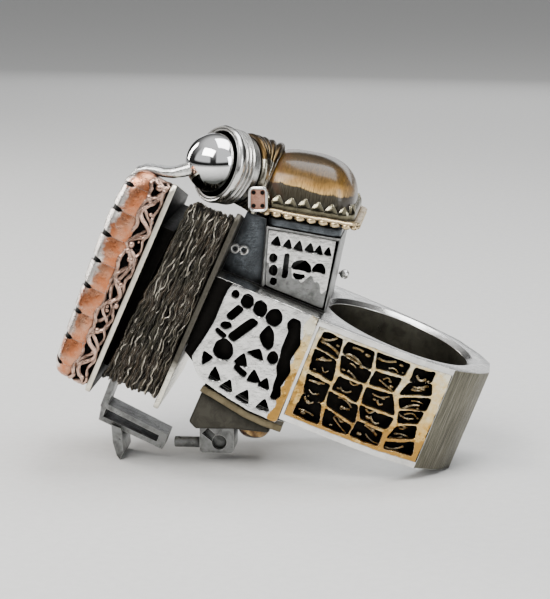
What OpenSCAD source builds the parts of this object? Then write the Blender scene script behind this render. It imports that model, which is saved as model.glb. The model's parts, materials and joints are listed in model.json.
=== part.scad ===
// Sculptural finger ring, in millimetres, modelled as it lies by itself on a flat surface.
// The ring's own frame has its origin at the centre of the finger hole: x runs from the
// head towards the outer end of the shank, y across the finger and z along it.

/* [Band] */
// Diameter of the finger hole
bore_d = 16.6; // [16:0.1:16.8]
// Width of the band, along the finger
band_w = 12; // [11.6:0.1:12.4]
// Depth of the band, across the finger
band_depth = 20.5; // [20.3:0.1:20.9]
// Width of the chamfer at both mouths of the finger hole
rim_chamfer = 0.5; // [0.2:0.1:0.7]
// Thickness of the pierced plates laid on the band
plate_t = 0.6; // [0.5:0.05:0.7]
// Depth of the blackened recess behind a pierced plate
recess_t = 0.7; // [0.4:0.05:0.9]
// Rows of brick-shaped openings in the side reliefs
relief_rows = 6; // [4:1:7]

/* [Head] */
// Length of the covers, along the finger
cover_len = 25.4; // [25:0.1:26]
// Depth of the covers, across the finger
cover_depth = 20.4; // [20:0.2:21]
// Slant of the head's upper end, down towards its far side
head_slant = 12; // [0:1:14]
// Thickness of the back cover
back_t = 0.6; // [0.4:0.1:0.7]
// Thickness of the front cover
front_t = 0.6; // [0.4:0.05:0.8]
// Number of leaves between the covers
leaf_count = 11; // [8:1:14]
// Thickness of the stack of leaves at its closed end
leaf_stack = 5; // [4.6:0.1:5.2]
// Fan angle of the stack, from the first leaf to the last
leaf_fan = 3.4; // [2:0.1:3.8]
// Height of the openwork gallery wall
gallery_h = 1.8; // [1.4:0.1:2]
// Lean of the head towards the finger
head_lean = 2; // [0:0.5:3]

/* [Petal bezel] */
// Distance between the gaps of two petals
petal_pitch = 3.08; // [2.6:0.1:3.6]
// Wall of the petals
petal_wall = 0.8; // [0.6:0.1:1]
// Height of the petals
petal_h = 3.4; // [3.2:0.1:3.7]
// Depth of the gaps between petals
petal_gap = 1.9; // [1:0.1:2.4]

/* [Turret] */
// Depth of the turret box, across the finger
turret_depth = 12.8; // [12:0.2:13.6]
// Length of the dome stone
dome_len = 10.1; // [9.8:0.1:10.4]
// Width of the dome stone
dome_w = 11.8; // [11:0.2:12.4]
// Height of the dome above its bezel's foot
dome_h = 5.8; // [5:0.1:6.2]
// Diameter of the polished ball
ball_d = 5.4; // [5:0.1:5.8]
// Number of main ribs in the sleeve between the dome and the cup
rib_count = 5; // [4:1:6]

/* [Rest] */
// Tilt of the finger hole from upright when the ring lies by itself
rest_tilt = 21.5; // [20.5:0.5:22.5]

/* [Hidden] */

$fn = 48;
// Clearance between pieces that are soldered or set together
gap = 0.05;
// Overshoot of a cutter past the face that it opens
over = 1;

// Colours of the metals and stones
silver = [0.80, 0.80, 0.80];
white_silver = [0.93, 0.92, 0.88];
dark_silver = [0.20, 0.19, 0.18];
grey_silver = [0.52, 0.54, 0.56];
copper = [0.72, 0.42, 0.30];
brass = [0.76, 0.62, 0.33];
bark_bronze = [0.24, 0.19, 0.13];
tiger_gold = [0.66, 0.47, 0.20];
tiger_brown = [0.36, 0.22, 0.12];

// Band outline seen along the finger: [x, half depth] from the block to the outer end
bore_r = bore_d / 2;
half_depth = band_depth / 2;
block_right = -8.9;
band_end_x = 10.9;
band_side = [[block_right, half_depth], [-5.3, half_depth - 0.05], [-1.5, half_depth - 0.25],
             [2.6, half_depth - 0.75], [6.9, half_depth - 2.25], [9.7, half_depth - 5.4],
             [band_end_x, half_depth - 7.9]];
relief_last = 4;
block_half = half_depth - plate_t - gap;
top_z = band_w / 2;
relief_edge = 0.7;

// Lower edge of the block and of the cheeks, from the head to the loop: [x, height below the axis]
cheek_edge = [[-20.2, 3.1], [-19.7, 4.05], [-18.9, 4.9], [-17.9, 5.4], [-16.2, 5.8], [-14.5, 6.1],
              [-12.4, 6.45], [-10.4, 6.55], [block_right, 6.4]];
cheek_low = [for (p = cheek_edge) [p[0], -p[1]]];

// Head frame: a point on the back cover's finger side, halfway along the front cover
head_x = -21.2;
head_z = 0.8;
back_len = cover_len - 1.5;
back_shift = 0.7;
leaf_len = cover_len - 2.8;
leaf_shift = 0.5;
leaf_pitch = leaf_stack / leaf_count;
leaf_h = back_t + gap;
leaf_thick = leaf_pitch + leaf_len * sin(leaf_fan) / leaf_count + 0.02;
front_h = 7.65;
gallery_foot = front_h + front_t + gap;
petal_foot = gallery_foot + gallery_h + gap;
cover_r = 0.9;
petal_shift = 0.25;
petal_len = cover_len - 0.4;
petal_depth = cover_depth - 0.4;
petal_r = 2.0;

// Petal section: [outward, up] from the foot of the bezel, along the outer face
petal_outer = [[0, gap], [0.3, petal_h * 0.25], [0.3, petal_h * 0.5], [-0.05, petal_h * 0.72],
               [-0.65, petal_h * 0.9], [-1.35, petal_h]];
petal_inner = [[-1.35 - petal_wall * 0.4, petal_h - petal_wall * 0.6],
               [-0.95 - petal_wall * 0.5, petal_h * 0.8], [-petal_wall, petal_h * 0.5], [-petal_wall, gap]];

// Turret outline seen from the side, and the frame of its leaning top
turret_foot_z = top_z + gap;
turret_left = [[-16.1, turret_foot_z], [-18.1, 12.6]];
turret_right = [[-8.6, turret_foot_z], [-10.0, 14.35]];
turret_top = (turret_left[1] + turret_right[1]) / 2;
top_lean = atan2(turret_right[1][1] - turret_left[1][1], turret_right[1][0] - turret_left[1][0]);
turret_len = norm(turret_right[1] - turret_left[1]);
neck_top_z = 13.2;
neck_half = 5.6;

// Leaning top, in its own frame: heights above the turret's top
cap_h = 1.1;
wire_h = 0.85;
saw_h = 1.75;
wire_z = cap_h + gap;
saw_z = wire_z + wire_h + gap;
dome_x = -0.15;
saw_len = dome_len + 0.75;
saw_w = dome_w + 1.1;
wire_len = dome_len + 1.3;
wire_x = 0.25;

// Fan of ribs: a vertical line at the near side where all ribs meet, and the cup's axis
fan_x = -20.1;
fan_y = -6.7;
fan_step = 10;
fan_r0 = 5.6;
fan_r_drop = 0.35;
fan_z0 = 15.3;
fan_z_rise = 0.38;
cup_r = fan_r0 - fan_r_drop * (rib_count - 1);
cup_len = 2.4;
cup_start = 1.4;
ball_out = cup_start + cup_len + 0.7;

// The line of the surface that the ring rests on, seen in the ring's own frame
function floor_z(x) = -band_w / 2 + (x - band_end_x) * tan(rest_tilt);
hook_x = -23.9;
strap_y = 1.9;
hook_y = 2.6;

// A point of the ring's frame, [x, z], at the place where it rests
function rest_x(p) = p[0] * cos(rest_tilt) + p[1] * sin(rest_tilt);
function rest_z(p) = -p[0] * sin(rest_tilt) + p[1] * cos(rest_tilt);
// A point of the head's frame, [height out, along the finger], in the ring's frame
function head_point(h, z) = [head_x - h * cos(head_lean) + z * sin(head_lean),
                             head_z + h * sin(head_lean) + z * cos(head_lean)];
rest_right = rest_x([band_end_x, band_w / 2]);
rest_left = min([for (p = petal_outer) rest_x(head_point(petal_foot + p[1], petal_shift - petal_len / 2 - p[0]))]);
rest_floor = rest_z([band_end_x, -band_w / 2]);

module at_rest() {
    translate([-(rest_left + rest_right) / 2, 0, -rest_floor]) rotate([0, rest_tilt, 0]) children();
}

// The head's frame: x runs along the finger, y across it, z away from the finger
module head_frame() {
    translate([head_x, 0, head_z]) rotate([0, head_lean, 0]) rotate([0, -90, 0]) children();
}

// The frame of the turret's leaning top, with z up from it
module top_frame() {
    translate([turret_top[0], 0, turret_top[1]]) rotate([0, -top_lean, 0]) children();
}

// Stands a flat x-z outline up as a slab from y0 to y1
module slab(y0, y1) {
    translate([0, y1, 0]) rotate([90, 0, 0]) linear_extrude(height = y1 - y0) children();
}

module round_rect(a, b, r) {
    square([a - 2 * r, b], center = true);
    square([a, b - 2 * r], center = true);
    for (i = [-1, 1], j = [-1, 1]) translate([i * (a / 2 - r), j * (b / 2 - r)]) circle(r);
}

module round_frame(a, b, r, wall) {
    difference() {
        round_rect(a, b, r);
        round_rect(a - 2 * wall, b - 2 * wall, r - wall);
    }
}

// Corners of the head's outline, moved inwards by m: a rectangle whose upper end slants
function head_corners(a, b, m) = let (t = tan(head_slant), w = m * sqrt(1 + t * t))
    [[-a / 2 + m, -b / 2 + m], [a / 2 - t * m - w, -b / 2 + m], [a / 2 - t * (b - m) - w, b / 2 - m], [-a / 2 + m, b / 2 - m]];
function next(k, pts) = (k + 1) % len(pts);
// Direction of the side that leaves a corner, and the point at a distance to its right
function side_dir(pts, k) = let (d = pts[next(k, pts)] - pts[k]) atan2(d[1], d[0]);
function right_of(p, dir, r) = p + r * [sin(dir), -cos(dir)];

// The stone's outline as points: each corner is an arc of six steps
function stone_outline(m, r) = let (pts = head_corners(petal_len, petal_depth, m + r))
    [for (k = [0:3]) let (a0 = side_dir(pts, (k + 3) % 4), turn = (side_dir(pts, k) - a0 + 360) % 360)
        for (j = [0:6]) right_of(pts[k], a0 + turn * j / 6, r)];

module head_outline(a, b, m, r) {
    pts = head_corners(a, b, m + r);
    polygon([for (k = [0:3]) each [right_of(pts[k], side_dir(pts, k), r), right_of(pts[next(k, pts)], side_dir(pts, k), r)]]);
    for (p = pts) translate(p) circle(r);
}

// Moves an open outline to its left by a distance
function moved_in(pts, d) = [for (i = [0:len(pts) - 1]) let (a = pts[max(i - 1, 0)], b = pts[min(i + 1, len(pts) - 1)],
        t = b - a) pts[i] + d * [-t[1], t[0]] / norm(t)];
function head_face_x(z) = head_x + (z - head_z) * tan(head_lean) + 2 * gap;

module cheek_outline(inset) {
    edge = [for (p = moved_in(cheek_low, inset)) [min(p[0], block_right - inset), p[1]]];
    polygon(concat(edge, [[block_right - inset, top_z - inset], [-19.1 + inset, top_z - inset],
                          [-19.5 + inset, 1]]));
}

module block_outline() {
    polygon(concat([[head_face_x(-3.1), -3.1]], [for (p = cheek_low) if (p[0] > -20) p],
                   [[block_right + 2, -top_z], [block_right + 2, top_z], [head_face_x(top_z), top_z]]));
}

function side_pts(inset, last) = [for (i = [0:last]) [band_side[i][0], band_side[i][1] - inset]];
function flip(pts) = [for (i = [len(pts) - 1:-1:0]) pts[i]];
function mirror_y(pts) = [for (p = pts) [p[0], -p[1]]];

module band_loop() {
    linear_extrude(height = band_w, center = true)
        polygon(concat(side_pts(0, len(band_side) - 1), mirror_y(flip(side_pts(0, len(band_side) - 1)))));
}

// A shell of the band's near side, between two depths below its face
module side_shell(inset, t) {
    outer = mirror_y(side_pts(inset, relief_last));
    inner = mirror_y(flip(side_pts(inset + t, relief_last)));
    translate([0, 0, -band_w / 2]) linear_extrude(height = band_w) polygon(concat(outer, inner));
}

module relief_window(grow) {
    translate([band_side[0][0] + 0.35 - grow, -top_z + relief_edge - grow])
        square([band_side[relief_last][0] - band_side[0][0] - 0.35 + grow, band_w - 2 * relief_edge + 2 * grow]);
}

module both_sides() {
    children();
    mirror([0, 1, 0]) children();
}

module band() {
    color(dark_silver) at_rest() difference() {
        union() {
            band_loop();
            slab(-block_half, block_half) block_outline();
        }
        cylinder(d = bore_d, h = band_w + 2 * over, center = true, $fn = 96);
        for (m = [0, 1]) mirror([0, 0, m]) translate([0, 0, top_z - rim_chamfer])
            cylinder(r1 = bore_r, r2 = bore_r + 2 * rim_chamfer, h = 2 * rim_chamfer, $fn = 96);
        both_sides() {
            intersection() {
                side_shell(-over, over + plate_t + recess_t);
                slab(-half_depth - over, 0) relief_window(0);
            }
            slab(-half_depth - over, -block_half + recess_t) cheek_outline(0.7);
        }
    }
}

// Outlines of cut-outs, each one unit wide and one high
rounded_shape = [[-0.5, -0.1], [-0.22, -0.46], [0.24, -0.5], [0.5, -0.16], [0.44, 0.26], [0.1, 0.5], [-0.3, 0.38]];
triangle_shape = [[-0.5, -0.42], [0.5, -0.5], [0.06, 0.5]];
drop_shape = [[-0.5, 0.02], [0.0, 0.5], [0.42, 0.2], [0.5, -0.32], [0.2, -0.5], [-0.2, -0.36]];
slot_shape = [[-0.5, -0.38], [-0.3, -0.5], [0.34, -0.48], [0.5, -0.36], [0.46, 0.4], [0.26, 0.5], [-0.34, 0.46],
              [-0.5, 0.36]];
arch_shape = [[-0.5, -0.3], [-0.46, 0.1], [-0.2, 0.45], [0.2, 0.5], [0.46, 0.2], [0.5, -0.5], [0.2, -0.46],
              [0.18, -0.05], [0.0, 0.12], [-0.18, 0.0], [-0.24, -0.3]];

// Cut-outs of a cheek: [x, z, width, height, turn], a list for each shape
cheek_rounded = [[-18.3, 5.15, 0.85, 0.85, 15], [-16.8, 4.85, 1.15, 1.45, 15], [-15.25, 4.6, 1.3, 1.5, 20],
                 [-13.55, 4.3, 1.7, 1.65, 5], [-18.0, 1.5, 0.75, 1.1, -75], [-17.4, -1.15, 1.8, 1.95, 20],
                 [-12.0, 0.1, 1.1, 1.3, 15]];
cheek_triangles = [[-13.8, -0.15, 1.9, 0.85, -4], [-15.0, -1.35, 1.25, 1.15, 5], [-13.15, -2.55, 1.2, 1.1, 20],
                   [-11.7, -2.8, 1.1, 0.9, 5], [-18.75, -3.05, 0.85, 1.2, 172], [-17.3, -4.05, 0.95, 1.25, 20],
                   [-15.5, -4.75, 1.25, 0.95, 0], [-13.35, -5.2, 1.35, 1.05, -5], [-11.0, -5.35, 1.35, 1.0, 10]];
cheek_slots = [[-17.6, 3.15, 0.8, 1.9, -25], [-18.25, 0.45, 0.5, 1.3, 72], [-16.1, 1.75, 0.9, 3.5, -32],
               [-14.75, -2.65, 0.55, 1.5, 70]];
cheek_drops = [[-13.4, 1.95, 1.5, 2.6, 12]];
// Dark column beside the border: [x, z, half width] from the top down
cheek_column = [[-11.1, 5.0, 0.45], [-11.1, 4.2, 0.8], [-10.75, 3.4, 0.7], [-10.6, 2.6, 0.95], [-10.7, 1.5, 0.75],
                [-10.7, 0.5, 0.6], [-10.45, -0.6, 0.8], [-10.3, -1.6, 0.55], [-10.4, -2.6, 0.4],
                [-10.15, -3.5, 0.5], [-10.35, -4.2, 0.3]];

module place_shapes(rows, shape) {
    for (r = rows) translate([r[0], r[1]]) rotate(r[4]) polygon([for (p = shape) [p[0] * r[2], p[1] * r[3]]]);
}

module column_shape(rows) {
    polygon(concat([for (r = rows) [r[0] - r[2], r[1]]], flip([for (r = rows) [r[0] + r[2], r[1]]])));
}

module cheek_plate() {
    slab(-half_depth, -half_depth + plate_t) difference() {
        cheek_outline(0.1);
        place_shapes(cheek_rounded, rounded_shape);
        place_shapes(cheek_triangles, triangle_shape);
        place_shapes(cheek_slots, slot_shape);
        place_shapes(cheek_drops, drop_shape);
        column_shape(cheek_column);
    }
}

module cheek_near() {
    color(white_silver) at_rest() cheek_plate();
}

module cheek_far() {
    color(white_silver) at_rest() mirror([0, 1, 0]) cheek_plate();
}

// Columns of brick-shaped openings: [middle, width, how far the bricks' ends stand apart in height]
relief_columns = [[-6.5, 2.6, 0.7], [-3.2, 3.0, 0.6], [0.5, 3.1, -0.2], [4.25, 2.6, -0.8]];
function column_wave(x, z) = -0.09 * z + 0.14 * sin(x * 67 + z * 75);
module relief_bricks() {
    low = -top_z + relief_edge + 0.45;
    h = (band_w - 2 * relief_edge - 0.5) / relief_rows;
    bar = 0.42;
    for (c = relief_columns, j = [0:relief_rows - 1]) {
        x0 = c[0] - c[1] / 2;
        x1 = c[0] + c[1] / 2;
        skew = c[2] / 2 * (j == 0 || j == relief_rows - 1 ? 0.2 : 1);
        z0 = low + j * h;
        z1 = z0 + h - bar;
        polygon([[x0 + column_wave(x0, z0), z0 + skew], [x1 + column_wave(x1, z0), z0 - skew],
                 [x1 + column_wave(x1, z1), z1 - skew], [x0 + column_wave(x0, z1), z1 + skew]]);
    }
}

module relief_plate() {
    intersection() {
        side_shell(gap, plate_t - gap);
        slab(-half_depth - over, 0) difference() {
            relief_window(-gap);
            relief_bricks();
        }
    }
}

module relief_near() {
    color(brass) at_rest() relief_plate();
}

module relief_far() {
    color(brass) at_rest() mirror([0, 1, 0]) relief_plate();
}

module neck() {
    marks = [[-20.4, 8.8], [-19.45, 9.0]];
    mark_r = 0.42;
    lean = (turret_left[1][0] - turret_left[0][0]) / (turret_left[1][1] - turret_left[0][1]);
    top_x = turret_left[0][0] + lean * (neck_top_z - turret_foot_z) - 2 * gap;
    color(grey_silver) at_rest() {
        slab(-neck_half, neck_half) polygon([[head_face_x(turret_foot_z), turret_foot_z],
            [turret_left[0][0] - 2 * gap, turret_foot_z], [top_x, neck_top_z], [head_face_x(neck_top_z), neck_top_z]]);
        for (m = marks) translate([m[0], -neck_half, m[1]])
            rotate([90, 0, 0]) rotate_extrude($fn = 32) translate([mark_r - 0.15, -0.1]) square([0.3, 0.3]);
    }
}

module cover(length, shift, h, t) {
    translate([shift, 0, h]) linear_extrude(height = t) head_outline(length, cover_depth, 0, cover_r);
}

module back_plate() {
    color(silver) at_rest() head_frame() cover(back_len, back_shift, 0, back_t);
}

// Uneven edge of a leaf: how far it stands back from the covers
function leaf_inset(i) = 0.45 + 0.25 * (i % 2) + 0.15 * sin(i * 131);
// The leaves spread from the closed end beside the ball to the open end beside the hook
module leaf_block() {
    color(bark_bronze) at_rest() head_frame() for (i = [0:leaf_count - 1])
        translate([leaf_shift + leaf_len / 2, 0, leaf_h + i * leaf_pitch]) rotate([0, leaf_fan * i / leaf_count, 0])
            translate([-leaf_len / 2, 0, 0]) linear_extrude(height = leaf_thick)
                head_outline(leaf_len, cover_depth - 0.8, leaf_inset(i), 1.2);
}

// Dark core in the gap between the leaves and the front cover
module core() {
    core_half = cover_depth / 2 - 2;
    end_x = leaf_shift + leaf_len / 2 - tan(head_slant) * cover_depth;
    low_x = leaf_shift - leaf_len / 2 + 1.4;
    foot = leaf_h + leaf_stack + (leaf_thick - leaf_pitch) + 3 * gap;
    spread = tan(leaf_fan * (1 - 1 / leaf_count));
    color(dark_silver) at_rest() head_frame() slab(-core_half, core_half)
        polygon([[end_x, foot + (leaf_shift + leaf_len / 2 - end_x) * spread], [end_x, front_h - gap], [low_x, front_h - gap],
                 [low_x, foot + (leaf_shift + leaf_len / 2 - low_x) * spread]]);
}

module front_plate() {
    color(silver) at_rest() head_frame() cover(cover_len, 0, front_h, front_t);
}

// Silver wall with a row of arched pockets, under the petals
module gallery() {
    arch_r = 0.55;
    arch_n = 8;
    wall = 1;
    inset = 0.55;
    color(silver) at_rest() head_frame() translate([petal_shift / 2, 0, gallery_foot]) difference() {
        linear_extrude(height = gallery_h) difference() {
            head_outline(cover_len - 0.4, cover_depth, inset, cover_r);
            head_outline(cover_len - 0.4, cover_depth, inset + wall, 0.3);
        }
        for (y = [-cover_depth / 2, cover_depth / 2]) for (i = [0:arch_n - 1])
            if (y < 0 || i < arch_n - 1) translate([(i - (arch_n - 1) / 2) * petal_pitch, y, gallery_h * 0.5])
                rotate([90, 0, 0]) cylinder(r = arch_r, h = 2 * (inset + wall * 0.55), center = true, $fn = 20);
    }
}

module petal_section() {
    polygon(concat(petal_outer, petal_inner));
}

// Opening of the gap between two petals towards their tips
module petal_notch() {
    polygon([[-0.14, petal_h - 1.1], [0.14, petal_h - 1.1], [0.6, petal_h + over], [-0.6, petal_h + over]]);
}

// Stands at the end of one side of the bezel, with x back along the side and y outwards
module bezel_side(pts, k) {
    translate(pts[next(k, pts)]) rotate(side_dir(pts, k) - 180) children();
}

// Folded petals, side by side on a plain ring: a row on each side and one round each corner
module petal_bezel() {
    pts = head_corners(petal_len, petal_depth, petal_r);
    between = 0.32;
    round_gap = asin(between / 2 / petal_r);
    color(copper) at_rest() head_frame() translate([petal_shift, 0, petal_foot]) difference() {
        union() {
            linear_extrude(height = petal_h - petal_gap) difference() {
                head_outline(petal_len, petal_depth, 0.1, petal_r - 0.1);
                head_outline(petal_len, petal_depth, petal_wall - 0.1, petal_r - petal_wall + 0.1);
            }
            for (k = [0:3]) {
                side_len = norm(pts[next(k, pts)] - pts[k]);
                n = round(side_len / petal_pitch);
                turn = (side_dir(pts, next(k, pts)) - side_dir(pts, k) + 360) % 360;
                bezel_side(pts, k) for (i = [0:n - 1]) translate([side_len * i / n + between / 2, petal_r, 0])
                    rotate([90, 0, 90]) linear_extrude(height = side_len / n - between) petal_section();
                translate(pts[next(k, pts)]) rotate(side_dir(pts, k) - 90 + round_gap)
                    rotate_extrude(angle = turn - 2 * round_gap) translate([petal_r, 0]) petal_section();
            }
        }
        for (k = [0:3]) {
            side_len = norm(pts[next(k, pts)] - pts[k]);
            n = round(side_len / petal_pitch);
            bezel_side(pts, k) for (i = [0:n]) translate([side_len * i / n, petal_r + 1, 0])
                rotate([90, 0, 0]) linear_extrude(height = 3.6) petal_notch();
        }
    }
}

// A smooth stone: superellipse plan of half sizes a and b, straight for the girdle's height, then
// curving in to its crown
module cushion(a, b, girdle, high, plan_n, side_n, around, rings) {
    function edge(t, s) = [a * s * sign(cos(t)) * pow(abs(cos(t)), 2 / plan_n),
                           b * s * sign(sin(t)) * pow(abs(sin(t)), 2 / plan_n)];
    levels = concat([[1, 0]], [for (j = [0:rings - 1]) let (q = 90 * j / rings)
        [pow(cos(q), 2 / side_n), girdle + (high - girdle) * pow(sin(q), 2 / side_n)]]);
    ring_pts = [for (l = levels, i = [0:around - 1]) let (e = edge(360 * (i + 0.5) / around, l[0])) [e[0], e[1], l[1]]];
    n = len(levels);
    sides = [for (j = [0:n - 2], i = [0:around - 1]) let (k = (i + 1) % around)
        [j * around + i, (j + 1) * around + i, (j + 1) * around + k, j * around + k]];
    crown = [for (i = [0:around - 1]) [n * around, (n - 1) * around + (i + 1) % around, (n - 1) * around + i]];
    polyhedron(points = concat(ring_pts, [[0, 0, high]]),
               faces = concat([[for (i = [0:around - 1]) i]], sides, crown));
}

// The large stone: its outline steps inwards and up to a flat crown, as a stack of outlines
stone_steps = [[0, 0], [0, 1.9], [0.5, 2.9], [1.2, 3.6], [2.2, 4.15], [3.6, 4.55], [5.6, 4.8]];
module face_stone() {
    inset = petal_wall + 0.75;
    corner = 1.6;
    rows = [for (st = stone_steps) for (p = stone_outline(inset + st[0], corner)) [p[0], p[1], st[1]]];
    n = len(stone_outline(inset, corner));
    m = len(stone_steps);
    walls = [for (j = [0:m - 2], i = [0:n - 1]) [j * n + i, (j + 1) * n + i, (j + 1) * n + (i + 1) % n, j * n + (i + 1) % n]];
    color(tiger_brown) at_rest() head_frame() translate([petal_shift, 0, gallery_foot + 0.9])
        polyhedron(points = rows, faces = concat([[for (i = [0:n - 1]) i]], walls, [[for (i = [n - 1:-1:0]) (m - 1) * n + i]]));
}

module turret_outline(inset) {
    polygon([turret_left[0] + [inset, inset], turret_right[0] + [-inset, inset],
             turret_right[1] + [-1.1 * inset, -1.2 * inset], turret_left[1] + [1.3 * inset, -0.8 * inset]]);
}

module turret() {
    color(grey_silver) at_rest() difference() {
        slab(-turret_depth / 2, turret_depth / 2) turret_outline(0);
        both_sides() {
            slab(-turret_depth, -turret_depth / 2 + plate_t) turret_outline(0.3);
            slab(-turret_depth, -turret_depth / 2 + plate_t + recess_t) turret_outline(0.9);
        }
    }
}

// Cut-outs of a turret plate: [x, z, width, height, turn], a list for each shape
turret_triangles = [[-16.45, 11.5, 0.95, 0.9, 12], [-15.2, 11.7, 0.85, 0.85, 12], [-14.0, 11.95, 0.9, 0.95, 12],
                    [-12.8, 12.2, 0.9, 0.85, 12], [-11.7, 12.4, 0.8, 0.8, 12], [-10.75, 12.6, 0.65, 0.75, 12]];
turret_slots = [[-14.5, 9.3, 0.45, 2.4, 14]];
turret_rounded = [[-16.1, 9.6, 0.7, 0.75, 10], [-15.6, 8.3, 0.75, 0.95, 15], [-15.1, 7.1, 0.6, 0.7, 10]];
turret_arches = [[-12.95, 9.85, 1.9, 1.5, 25], [-10.9, 10.55, 1.25, 1.2, 20]];

module turret_plate() {
    slab(-turret_depth / 2, -turret_depth / 2 + plate_t - gap) difference() {
        turret_outline(0.3 + gap);
        place_shapes(turret_triangles, triangle_shape);
        place_shapes(turret_slots, slot_shape);
        place_shapes(turret_rounded, rounded_shape);
        place_shapes(turret_arches, arch_shape);
    }
}

module turret_plate_near() {
    color(white_silver) at_rest() turret_plate();
}

module turret_plate_far() {
    color(white_silver) at_rest() mirror([0, 1, 0]) turret_plate();
}

module turret_cap() {
    color(grey_silver) at_rest() top_frame() translate([0, 0, gap]) linear_extrude(height = cap_h - gap)
        round_rect(turret_len - 0.1, turret_depth - 0.1, 1);
}

// Notches of one shape through both walls of a rounded frame, along x and along y
module frame_notches(len_x, len_y, pitch) {
    nx = floor(len_x / pitch);
    ny = floor(len_y / pitch);
    for (i = [0:nx]) translate([(i - nx / 2) * len_x / (nx + 0.6), 0, 0])
        rotate([90, 0, 0]) linear_extrude(height = 3 * len_y, center = true) children();
    for (i = [0:ny]) translate([0, (i - ny / 2) * len_y / (ny + 0.6), 0])
        rotate([90, 0, 90]) linear_extrude(height = 3 * len_x, center = true) children();
}

module scallop_wire() {
    wire_w = saw_w + 1.2;
    color(brass) at_rest() top_frame() translate([wire_x, 0, wire_z]) difference() {
        linear_extrude(height = wire_h) round_frame(wire_len, wire_w, 1.6, 1.1);
        frame_notches(wire_len, wire_w, 1.2) polygon([[-0.3, 0], [0, -0.4], [0.3, 0], [0, 0.4]]);
    }
}

module saw_bezel() {
    color(silver) at_rest() top_frame() translate([dome_x, 0, saw_z]) difference() {
        linear_extrude(height = saw_h) round_frame(saw_len, saw_w, 1.6, 0.35);
        frame_notches(saw_len, saw_w, 1.15)
            polygon([[-0.05, 0.75], [0.05, 0.75], [0.55, saw_h + over / 5], [-0.55, saw_h + over / 5]]);
    }
}

// The dome is cut flat at the end where the ribbed sleeve meets it
module dome_stone() {
    stretch = 1.9;
    color(tiger_gold) at_rest() intersection() {
        top_frame() translate([dome_x - stretch / 2, 0, saw_z + gap])
            cushion((dome_len + stretch) / 2, dome_w / 2, 0.5, dome_h, 3.4, 2.5, 44, 9);
        top_frame() translate([dome_x - dome_len / 2, -dome_w, 0]) cube([2 * dome_len, 2 * dome_w, 3 * dome_h]);
        translate([sleeve_face_x + gap, -dome_w, 0]) cube([2 * dome_len, 2 * dome_w, 6 * dome_h]);
    }
}

// Places children on the fan: turned about the line where the ribs meet, at the rib's centre
module fan_place(k) {
    r = fan_r0 - fan_r_drop * k;
    translate([fan_x, fan_y, fan_z0 + fan_z_rise * k]) rotate([0, 0, fan_step * k])
        translate([0, r, 0]) rotate([0, -90, 0]) children();
}

// One rib: a short tube whose axis lies across the fan
module rib(k, shrink, width) {
    r = fan_r0 - fan_r_drop * k - shrink;
    fan_place(k) difference() {
        cylinder(r = r, h = width, center = true);
        cylinder(r = r - 0.8, h = width + over, center = true);
    }
}

rib_w = 0.95;
sleeve_face_x = fan_x + 0.45;
module ribbed_sleeve() {
    sleeve_foot = neck_top_z + gap;
    sleeve_end = min(dome_x - saw_len / 2, wire_x - wire_len / 2) - gap;
    color(silver) at_rest() difference() {
        union() {
            for (k = [0:rib_count - 1]) rib(k, 0, rib_w);
            for (k = [0:rib_count - 2]) rib(k + 0.5, 0.28, rib_w + 0.1);
            rib(-0.5, 0.28, 1.6);
        }
        translate([-40, -20, sleeve_foot - 30]) cube([40, 40, 30]);
        top_frame() translate([sleeve_end, -20, -10]) cube([40, 40, 10 + saw_z + saw_h + gap]);
        translate([sleeve_face_x, -20, 0]) cube([40, 40, 40]);
    }
}

module ball_cup() {
    wall = 0.45;
    back = rib_w / 2 + gap;
    color(silver) at_rest() fan_place(rib_count - 1) {
        difference() {
            translate([0, 0, cup_start]) cylinder(r = cup_r, h = cup_len);
            translate([0, 0, cup_start + 0.5]) cylinder(r = cup_r - wall, h = cup_len);
        }
        translate([0, 0, cup_start + cup_len - 0.2]) rotate_extrude() translate([cup_r - wall / 2, 0]) circle(0.36, $fn = 24);
        translate([0, 0, back]) cylinder(r = cup_r - 0.5, h = cup_start + 0.4 - back);
    }
}

module ball() {
    color(silver) at_rest() fan_place(rib_count - 1) {
        translate([0, 0, ball_out]) sphere(d = ball_d);
        translate([0, 0, cup_start + 0.5 + gap]) cylinder(r = 0.9, h = ball_out - cup_start - 0.5 - gap);
    }
}

// Flat strap from the head's upper end to the ball, as an x-z outline
module bridge_strap() {
    strap_t = 0.5;
    pts = [[-33.2, 14.5], [-32.0, 14.75], [-30.6, 14.75], [-29.4, 15.1], [-28.2, 16.4]];
    color(silver) at_rest() difference() {
        slab(-7.9, -5.3) polygon(concat(pts, [for (p = flip(pts)) [p[0] + 0.12, p[1] - strap_t]]));
        fan_place(rib_count - 1) translate([0, 0, ball_out]) sphere(d = ball_d + 2 * gap);
        head_frame() translate([petal_shift, 0, 0]) linear_extrude(height = 30) head_outline(petal_len, petal_depth, -0.32 - gap, 1);
    }
}

module rivet_tab() {
    tab = [-19.95, 15.2];
    tab_size = [2.2, 2.8];
    tab_t = 0.5;
    y_face = fan_y - 0.45;
    color(copper) at_rest() {
        slab(y_face - tab_t, y_face) translate(tab) rotate(rest_tilt) round_rect(tab_size[0], tab_size[1], 0.4);
        for (i = [-1, 1], j = [-1, 1]) translate([tab[0], y_face - tab_t, tab[1]]) rotate([90, 0, 0])
            rotate(rest_tilt) translate([i * 0.6, j * 0.85, 0]) cylinder(r = 0.26, h = 0.25, $fn = 20);
    }
}

module granule() {
    spot = [-8.2, 8.7];
    wall_x = turret_right[0][0] + (turret_right[1][0] - turret_right[0][0]) * (spot[1] - turret_foot_z)
             / (turret_right[1][1] - turret_foot_z);
    color(silver) at_rest() translate([spot[0], 4.8, spot[1]]) {
        sphere(d = 1.1);
        translate([wall_x - spot[0] + 3 * gap, 0, 0]) rotate([0, 90, 0]) cylinder(r = 0.22, h = spot[0] - wall_x - 3 * gap);
    }
}

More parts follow.
